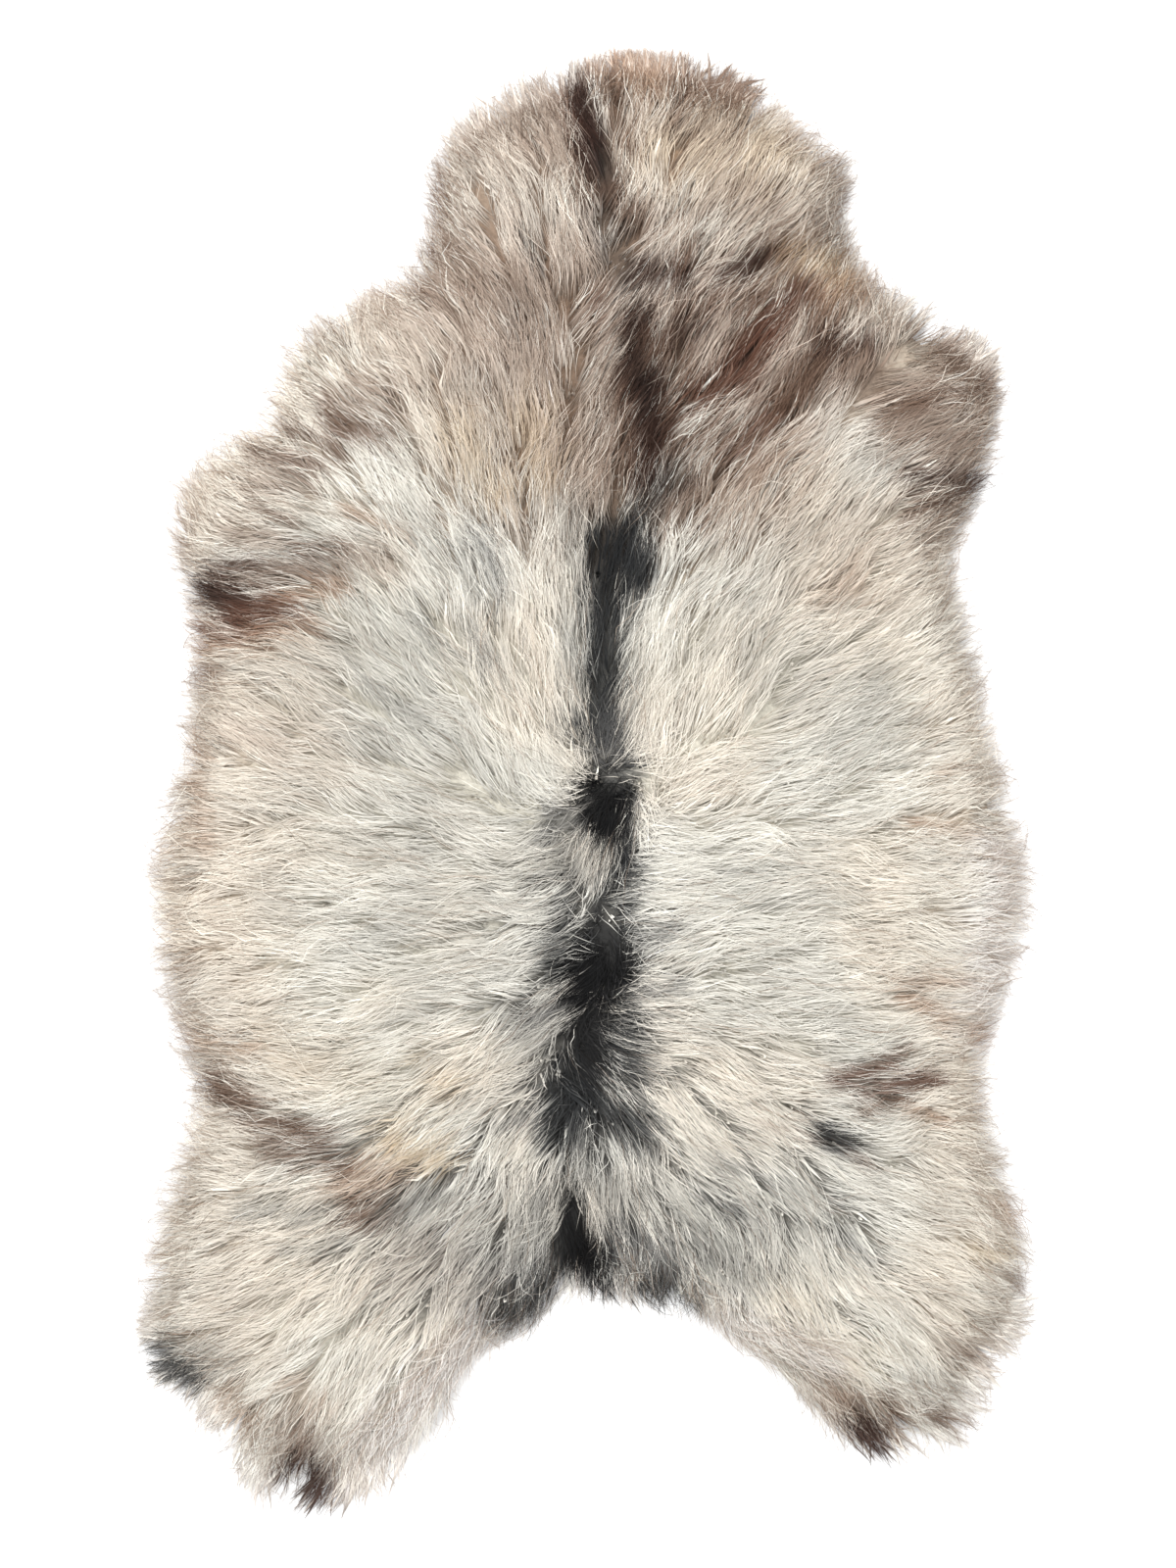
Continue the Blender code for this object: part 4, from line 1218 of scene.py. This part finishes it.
class SHEEPSKIN_OT_undercoat(bpy.types.Operator):
    """Lay the close undercoat over the hide, in the fleece's place"""

    bl_idname = "sheepskin.undercoat"
    bl_label = "Lay Undercoat"

    def execute(self, context):
        settings = context.scene.sheepskin_undercoat
        pelt = the_pelt()
        spokes, rings = settings.spokes, settings.rings
        angles = np.linspace(-math.pi, math.pi, spokes, endpoint=False)
        edge_angles = np.arctan2(pelt.edge[:, 1], pelt.edge[:, 0])
        edge_radii = np.linalg.norm(pelt.edge, axis=1)
        radius = np.interp(angles, edge_angles, edge_radii, period=2 * math.pi)
        out = radius + settings.overhang
        shares = np.sin(np.linspace(0, 1, rings) ** RING_POWER * math.pi / 2)[1:]
        way = np.stack([np.cos(angles), np.sin(angles)], axis=1)
        top = way[None] * (out[None] * shares[:, None])[..., None]
        height = pelt.height.at(top) - HIDE_HIGH[2]
        rim = np.clip((out * (1 - shares[:, None])) / EDGE_SLOPE, 0, 1)
        crimp = (grain(top, CRIMP_PITCH, SEED + 2) - 0.5) * CRIMP_HEIGHT
        wool = height * settings.height * ease(rim)
        z_top = HIDE_HIGH[2] + UNDERCOAT_RISE + wool + crimp * rim
        z_top[shares > EDGE_SHARE] = 2 * FLOOR_CLEARANCE
        on_hide = HIDE_HIGH[2] + HIDE_GAP
        under = (
            (1 - 3 * MM / out, FLOOR_CLEARANCE),
            ((radius + 0.5 * MM) / out, FLOOR_CLEARANCE),
            ((radius + 0.4 * MM) / out, on_hide),
            (np.full(spokes, 0.5), on_hide),
        )
        rows = [np.concatenate([ring, z[:, None]], axis=1) for ring, z in zip(top, z_top)]
        for share, z in under:
            ring = way * (out * share)[:, None]
            rows.append(np.concatenate([ring, np.full((spokes, 1), z)], axis=1))
        middle_top = np.array([[0, 0, z_top[0].mean()]])
        middle_under = np.array([[0, 0, on_hide]])
        vertices = np.concatenate([middle_top, np.concatenate(rows), middle_under])
        corners, totals = closed_rings(len(rows), spokes)
        piece = new_mesh("undercoat", vertices, corners, totals)
        under_tone = chart_colour(vertices[:, :2], TONES["pearl"], UNDERCOAT)
        coat_tone = chart_colour(vertices[:, :2], TONES["ivory"], MARKINGS)
        # The undercoat's own tones times the coat's: its markings, and a darkening under the coat that
        # is painted shade. Towards the rim it takes the coat's tone.
        shaded_undercoat = under_tone * (0.12 + 0.88 * coat_tone)
        rim = ease((0.98 - pelt.soft_footprint.at(vertices[:, :2])) / 0.2)[:, None]
        set_colours(piece.data, shaded_undercoat + (coat_tone - shaded_undercoat) * rim)
        piece.data.materials.append(undercoat_material())
        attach(piece, "root")
        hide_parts("fleece")
        return {"FINISHED"}


def closed_rings(rings, spokes):
    """Faces of a closed surface: a fan to a first point, quads between rings of points, and a
    fan to a last point, all facing outwards."""
    around = np.arange(spokes)
    after = (around + 1) % spokes
    ring = 1 + np.arange(rings)[:, None] * spokes
    first = np.stack([np.zeros(spokes, int), 1 + around, 1 + after], axis=1)
    low, high = ring[:-1], ring[1:]
    quads = np.stack([low + around, high + around, high + after, low + after], axis=-1)
    end = 1 + rings * spokes
    base = end - spokes
    last = np.stack([base + around, np.full(spokes, end), base + after], axis=1)
    corners = np.concatenate([first.ravel(), quads.ravel(), last.ravel()])
    totals = np.repeat([3, 4, 3], [spokes, (rings - 1) * spokes, spokes])
    return corners, totals


# The coats. A pair is the range that each strand draws from. Shortest is a share of the full
# length. Root is a strand's height at its root and low to high at its tip, as shares of the
# wool's height. Relief raises the middle of a lock, and lift whole locks. Rim and kept say
# where strands end, for rim_ends and cut_at_rim. The last is the painted shade that darkens roots.
COATS = {
    "base": {
        "steps": 5, "shortest": 0.7, "gather": (0.1, 0.5), "stray": 0.10, "swing": 1.0 * MM,
        "low": 0.70, "high": 0.92, "root": 0.40, "relief": 0.7 * MM, "lift": 0.4 * MM,
        "rim": (0.78, 0.22, 0.6), "kept": (2.0, 3.0), "depth": 0.30,
    },
    "top": {
        "steps": 5, "shortest": 0.55, "gather": (0.0, 0.5), "stray": 0.05, "swing": 0.9 * MM,
        "low": 0.92, "high": 1.01, "root": 0.55, "relief": 0.7 * MM, "lift": 0.25 * MM,
        "rim": (0.05, 0.93, 0.34), "kept": (0.7, 4.0), "depth": 0.22,
    },
}


def coat_spines(pelt, roots, wild, coat, length, draw):
    """The spines of a coat's strands, with the leader and the place across the lock of each.

    A strand follows its lock, nears its leader, strays a little, curls more towards the rim and
    waves. It ends where the softened footprint falls below a random value, which shifts from
    lock to lock and is lowest at the longest tips. It rises from its root's share of the wool's
    height to its own level, highest in the middle of the lock. Wild, from 0 to 1, says how much
    of a stray strand each is."""
    locks = the_locks()
    count, steps = len(roots), coat["steps"]
    shares = np.linspace(0, 1, steps + 1)[None].repeat(count, axis=0)
    far = far_ends(roots, pelt.combing)
    reach = draw.uniform(coat["shortest"], 1.0, count) * (1 + FAR["longer"] * far)
    reach = reach * (1 - WILD["shorter"] * wild) * length / LOCK_LENGTH
    gather = draw.uniform(*coat["gather"], count) * (1 - WILD["looser"] * wild)
    gather = gather + FAR["closer"] * far
    paths, leader, beside = gathered(roots, locks, shares * reach[:, None], gather)
    turn = coat["stray"] + WILD["turn"] * wild
    paths = turned(paths, draw.normal(0.0, 1.0, count) * turn)
    at_rim = 1 - pelt.soft_footprint.at(paths[:, -1])
    curl = draw.normal(0.0, 1.0, count) * (CURL + RIM_CURL * at_rim)
    paths = curled(paths, curl * (1 - FAR["straighter"] * far))
    swing = coat["swing"] * draw.uniform(0.2, 1.0, count)
    waves = draw.uniform(1.0, 2.4, count)
    paths = waved(paths, shares, swing, waves, draw.uniform(0, 2 * math.pi, count))
    least = rim_ends(coat["rim"], count, draw) + LOCK_SHARE * locks.lift[leader]
    least *= 1 - far * draw.uniform(0.2, 1.0, count) ** 0.2
    kept = draw.uniform(*coat["kept"], count) * (1 - FAR["kept"] * far)
    paths = cut_at_rim(paths, pelt, least, kept, far)
    ground = pelt.height.at(paths)
    level = draw.uniform(coat["low"], coat["high"], count)[:, None]
    level = level * (1 - WILD["lower"] * wild[:, None])
    share_up = coat["root"] + (level - coat["root"]) * (1 - (1 - shares) ** 2)
    ridge = np.clip(1 - (np.linalg.norm(beside, axis=1) / (0.75 * locks.pitch)) ** 2, 0, 1)
    relief = (coat["relief"] * ridge + coat["lift"] * locks.lift[leader])[:, None] * ease(shares * 2)
    fade = ease(ground / (14 * MM))
    z = ground * share_up + relief * fade + draw.uniform(0.2, 1.2, (count, 1)) * MM
    along = unit(paths[:, -1] - paths[:, 0])
    lateral = (beside[:, 0] * along[:, 1] - beside[:, 1] * along[:, 0]) / locks.pitch
    return np.concatenate([paths, z[..., None]], axis=-1), leader, lateral


def strand_colours(spine, locks, leader, draw, depth, tips):
    """Colours along each strand: the charted colour at each point of it, shifted by lock and by
    strand so that markings end in streaks, over ivory that varies. It is greyer in some locks
    and strands. Towards the root it takes the undercoat's own tones with the marking's, and is
    darker still there by painted shade deep in the wool. It is paler on the rim by painted light.
    A tip on the rim is browner, by a random share to the power tips, unless its wool is snow-white."""
    count = len(spine)
    places = spine[..., :2]
    along = unit(places[:, -1] - places[:, 0])
    across = np.stack([along[:, 1], -along[:, 0]], axis=1)
    drift = draw.normal(0, 1, (count, 2)) * STRAND_DRIFT + locks.shift[leader] * LOCK_DRIFT
    shift = along * drift[:, :1] * MM + across * drift[:, 1:] * MM
    seen = places + shift[:, None]
    warmth = ease(1.6 * grain(seen, 55 * MM, SEED + 8) - 0.5)[..., None]
    ground = np.array(TONES["ivory"]) * (1 - warmth) + np.array(TONES["cream"]) * warmth
    own = draw.normal(0, 1, count)
    tone = locks.tone[leader]
    stray = (STRAND_EDGE * own + LOCK_EDGE * tone)[:, None]
    mark = chart_colour(seen, ground, MARKINGS, stray)
    light = np.clip(mark @ BRIGHTNESS, 0, 1)
    patch = grain(places[:, 2], 30 * MM, SEED + 9) - 0.5
    lean = 0.75 * tone + 0.65 * draw.normal(0, 1, count) + 3.2 * patch
    grey = GREY_SHARE * ease((lean - 0.9) / 1.3)[:, None] * ease(light * 1.6)
    mark = mark + (linear(TONES["grey"]) - mark) * grey[..., None]
    mark = mark * np.exp(LOCK_TONE * tone + STRAND_TONE * own)[:, None, None]
    shares = np.linspace(0, 1, spine.shape[1])[None, :, None]
    # Towards the root: the undercoat's own tones with the marking's, darkened further by painted shade
    # deep in the wool
    root = chart_colour(seen, TONES["pearl"], UNDERCOAT) * (0.10 + 0.90 * mark) * (1 - depth)
    mix = ease((shares - 0.02) / 0.55)
    colour = root * (1 - mix) + mark * mix
    # Paler towards the rim where the wool is light: painted light
    rim = ease((0.85 - the_pelt().soft_footprint.at(places)) / 0.6)[..., None] * light[..., None]
    colour = colour + (linear(TONES["snow"]) - colour) * RIM_PAINTED_LIGHT * rim
    tipped = rim * ease((shares - 0.5) / 0.5) * draw.uniform(0, 1, (count, 1, 1)) ** tips
    tipped = tipped * ease((WHITE_LIGHT - light[..., None]) / 0.1)
    colour = colour + (linear(TONES["tip brown"]) - colour) * tipped
    return np.clip(colour, 0.003, 0.97)


def strand_widths(width, steps, draw, count):
    """Widths along strands: half at the root, full before the middle, and fine at the tip."""
    shares = np.linspace(0, 1, steps + 1)[None]
    taper = (0.5 + 0.5 * ease(shares * 4)) * (1 - 0.85 * shares**2.2)
    return width * taper * draw.uniform(0.7, 1.25, (count, 1))


def grow_coat(settings, kind, parts, material):
    """Strands of one coat, in pieces of equal size from the neck to the hind legs. Some of them
    fill the places that a trial combing leaves thin."""
    coat = COATS[kind]
    pelt, locks = the_pelt(), the_locks()
    total = getattr(settings, kind + "_strands")
    length = getattr(settings, kind + "_length")
    draw = np.random.default_rng(SEED + 10 * len(parts))
    filling = int(total * FILLING_SHARE)
    roots = scattered(total - filling, pelt, SEED + 10 * len(parts) + 1)
    trial = combed_paths(roots, np.full(len(roots), 0.8 * length), pelt.combing, 4)
    roots = np.concatenate([roots, thin_places(trial, pelt, filling, draw)])
    wild = np.zeros(len(roots))
    wild[-filling:] = draw.uniform(0.3, 1.0, filling)
    spine, leader, lateral = coat_spines(pelt, roots, wild, coat, length, draw)
    colours = strand_colours(spine, locks, leader, draw, coat["depth"], 1.3)
    widths = strand_widths(getattr(settings, kind + "_width"), coat["steps"], draw, len(roots))
    roll = 0.55 * np.clip(lateral, -0.6, 0.6) + draw.normal(0, 0.15, len(roots))
    roll = roll[:, None].repeat(spine.shape[1], axis=1)
    order = np.argsort(-roots[:, 1], kind="stable")
    for part, chosen in zip(parts, np.array_split(order, len(parts))):
        name = f"{kind}_coat_{part}"
        ribbon_piece(name, spine[chosen], widths[chosen], roll[chosen], colours[chosen], material)


class SHEEPSKIN_OT_coats(bpy.types.Operator):
    """Grow the broad base locks and the long outer coat, combed and gathered"""

    bl_idname = "sheepskin.coats"
    bl_label = "Grow Combed Coats"

    def execute(self, context):
        settings = context.scene.sheepskin_coats
        base = strand_material("base_wool", 0.75, 0.9)
        grow_coat(settings, "base", ("whole",), base)
        top = strand_material("long_wool", 0.6, 0.5)
        grow_coat(settings, "top", ("neck", "shoulders", "back", "rump"), top)
        return {"FINISHED"}


# The wisps. A pair is the range that each hair draws from, and swing and lift are in
# millimetres. Dark_share is how many are darkened, and tone is what they are darkened by.
WISPS = {
    "rim": {
        "steps": 6, "reach": (0.6, 1.25), "stray": 0.22, "curl": 0.9, "swing": (0.8, 3.2),
        "rim": (0.02, 0.42, 0.9), "lift": (0.0, 3.5), "dark_share": 0.65, "tone": "umber",
    },
    "guard": {
        "steps": 6, "reach": (0.7, 1.2), "stray": 0.14, "curl": 0.4, "swing": (1.0, 4.0),
        "rim": (0.03, 0.70, 0.7), "lift": (1.0, 5.0), "dark_share": 0.4, "tone": "umber",
    },
}


class SHEEPSKIN_OT_wisps(bpy.types.Operator):
    """Grow fine wisps round the rim and stray guard hairs over the coat"""

    bl_idname = "sheepskin.wisps"
    bl_label = "Grow Wisps"

    def execute(self, context):
        settings = context.scene.sheepskin_wisps
        pelt = the_pelt()
        material = strand_material("wisp_wool", 0.6, 0.3)
        roots = scattered(settings.rim_wisps * 8, pelt, SEED + 31)
        roots = roots[distance_to(roots, pelt.edge) < settings.band]
        draw = np.random.default_rng(SEED + 30)
        roots = roots[draw.permutation(len(roots))[: settings.rim_wisps]]
        self.grow("rim_wisps", roots, settings, WISPS["rim"], material)
        roots = scattered(settings.guard_hairs, pelt, SEED + 41)
        self.grow("guard_hairs", roots, settings, WISPS["guard"], material)
        return {"FINISHED"}

    def grow(self, name, roots, settings, wisp, material):
        """Curly hairs that leave their locks, lie on the wool and end past its rim."""
        pelt, locks = the_pelt(), the_locks()
        draw = np.random.default_rng(SEED + 50 + len(name))
        count, steps = len(roots), wisp["steps"]
        shares = np.linspace(0, 1, steps + 1)[None].repeat(count, axis=0)
        reach = draw.uniform(*wisp["reach"], (count, 1))
        gather = draw.uniform(0, 0.6, count)
        paths, leader, _ = gathered(roots, locks, shares * reach, gather)
        paths = turned(paths, draw.normal(0, wisp["stray"], count))
        paths = curled(paths, draw.normal(0.0, wisp["curl"], count))
        swing = draw.uniform(*wisp["swing"], count) * MM
        waves = draw.uniform(1.0, 2.2, count)
        paths = waved(paths, shares, swing, waves, draw.uniform(0, 6.3, count))
        far = far_ends(roots, pelt.combing)
        least = rim_ends(wisp["rim"], count, draw) + WISP_SHARE * locks.lift[leader]
        least = least * (1 - FAR["wisp_least"] * far)
        paths = cut_at_rim(paths, pelt, least, draw.uniform(0.8, 4.0, count), far)
        lift = draw.uniform(*wisp["lift"], (count, 1)) * MM * ease(shares * 2)
        ground = pelt.height.at(paths)
        z = ground * (0.6 + 0.4 * ease(shares * 2.5)) + lift * ease(ground / (8 * MM)) + 0.5 * MM
        spine = np.concatenate([paths, z[..., None]], axis=-1)
        colours = strand_colours(spine, locks, leader, draw, 0.2, 0.4)
        dark = draw.random((count, 1, 1)) < wisp["dark_share"]
        darker = dark * draw.uniform(0.4, 1.0, (count, 1, 1))
        colours = colours + (colours * linear(TONES[wisp["tone"]]) ** 0.5 - colours) * darker
        widths = strand_widths(settings.width, steps, draw, count)
        roll = draw.normal(0, 0.4, (count, 1)).repeat(steps + 1, axis=1)
        ribbon_piece(name, spine, widths, roll, colours, material)


class SHEEPSKIN_OT_hide(bpy.types.Operator):
    bl_idname = "sheepskin.hide"
    bl_label = "Finish Hide"

    def execute(self, context):
        settings = context.scene.sheepskin_hide
        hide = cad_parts["hide"]
        material = suede_material(settings)
        hide.data.materials.clear()
        hide.data.materials.append(material)
        area = flat_area(the_pelt().edge)
        return {"FINISHED"}


class SHEEPSKIN_OT_studio(bpy.types.Operator):
    """Set the pale floor, the soft light and the camera that looks straight down"""

    bl_idname = "sheepskin.studio"
    bl_label = "Set Studio"

    def execute(self, context):
        settings = context.scene.sheepskin_studio
        scene = context.scene
        self.make_floor()
        self.make_light(scene, settings)
        self.make_camera(scene, settings)
        scene.view_settings.view_transform = "Standard"
        return {"FINISHED"}

    def make_floor(self):
        """A wide floor, a hair's breadth below the hide, so that the two don't share a plane."""
        bpy.ops.mesh.primitive_plane_add(size=FLOOR_SIZE)
        floor = bpy.context.object
        floor.name = "studio_floor"
        floor.data.transform(Matrix.Translation((0.0, 0.0, -FLOOR_DROP)))
        material, _, shader = new_material("pale_floor")
        set_inputs(shader, {"Base Color": FLOOR_TONE, "Roughness": 0.9})
        floor.data.materials.append(material)

    def make_light(self, scene, settings):
        """An even white surround, and a large soft light from the neck's left."""
        world = bpy.data.worlds.new("even_surround")
        world.use_nodes = True
        background = world.node_tree.nodes["Background"]
        set_inputs(background, {"Color": (1.0, 1.0, 1.0, 1.0), "Strength": settings.sky})
        scene.world = world
        data = bpy.data.lights.new("soft_key", "AREA")
        data.shape = "DISK"
        data.size = LIGHT_SIZE
        data.energy = settings.key_power
        light = bpy.data.objects.new("soft_key", data)
        light.location = LIGHT_PLACE
        light.rotation_euler = (-light.location).to_track_quat("-Z", "Y").to_euler()
        scene.collection.objects.link(light)

    def make_camera(self, scene, settings):
        """A camera over the picture's middle, as high as frames the photograph's view."""
        data = bpy.data.cameras.new("overhead")
        data.lens = settings.lens
        data.sensor_width = SENSOR_WIDTH
        camera = bpy.data.objects.new("overhead", data)
        middle = from_photo(*MIDDLE_PIXEL)
        height = PICTURE_HEIGHT * settings.lens / data.sensor_width
        camera.location = (middle[0], middle[1], height + FLEECE_HIGH[2] / 2)
        scene.collection.objects.link(camera)
        scene.camera = camera


class SHEEPSKIN_PT_panel(bpy.types.Panel):
    """The sheepskin's pieces, in the order in which they are made"""

    bl_idname = "SHEEPSKIN_PT_panel"
    bl_label = "Combed Sheepskin"
    bl_space_type = "VIEW_3D"
    bl_region_type = "UI"
    bl_category = "Sheepskin"

    def draw(self, context):
        """A box for each step: its settings and its button."""
        for group, operator in STEPS:
            box = self.layout.box()
            settings = getattr(context.scene, group)
            for name in settings.__annotations__:
                box.prop(settings, name)
            box.operator(operator)


STEPS = (
    ("sheepskin_studio", "sheepskin.studio"),
    ("sheepskin_undercoat", "sheepskin.undercoat"),
    ("sheepskin_coats", "sheepskin.coats"),
    ("sheepskin_wisps", "sheepskin.wisps"),
    ("sheepskin_hide", "sheepskin.hide"),
)
SETTINGS = {
    "sheepskin_studio": StudioSettings,
    "sheepskin_undercoat": UndercoatSettings,
    "sheepskin_coats": CoatSettings,
    "sheepskin_wisps": WispSettings,
    "sheepskin_hide": HideSettings,
}
OPERATORS = (
    SHEEPSKIN_OT_studio,
    SHEEPSKIN_OT_undercoat,
    SHEEPSKIN_OT_coats,
    SHEEPSKIN_OT_wisps,
    SHEEPSKIN_OT_hide,
)


def register():
    """The classes, and the settings on the scene."""
    for cls in (*SETTINGS.values(), *OPERATORS, SHEEPSKIN_PT_panel):
        bpy.utils.register_class(cls)
    for name, cls in SETTINGS.items():
        setattr(bpy.types.Scene, name, PointerProperty(type=cls))


def unregister():
    """Takes back what register adds."""
    for name in SETTINGS:
        delattr(bpy.types.Scene, name)
    for cls in (SHEEPSKIN_PT_panel, *reversed(OPERATORS), *reversed(list(SETTINGS.values()))):
        bpy.utils.unregister_class(cls)


def main():
    """The studio, then the pelt's pieces in their order."""
    register()
    bpy.ops.sheepskin.studio()
    bpy.ops.sheepskin.undercoat()
    bpy.ops.sheepskin.coats()
    bpy.ops.sheepskin.wisps()
    bpy.ops.sheepskin.hide()


if __name__ == "__main__":
    main()
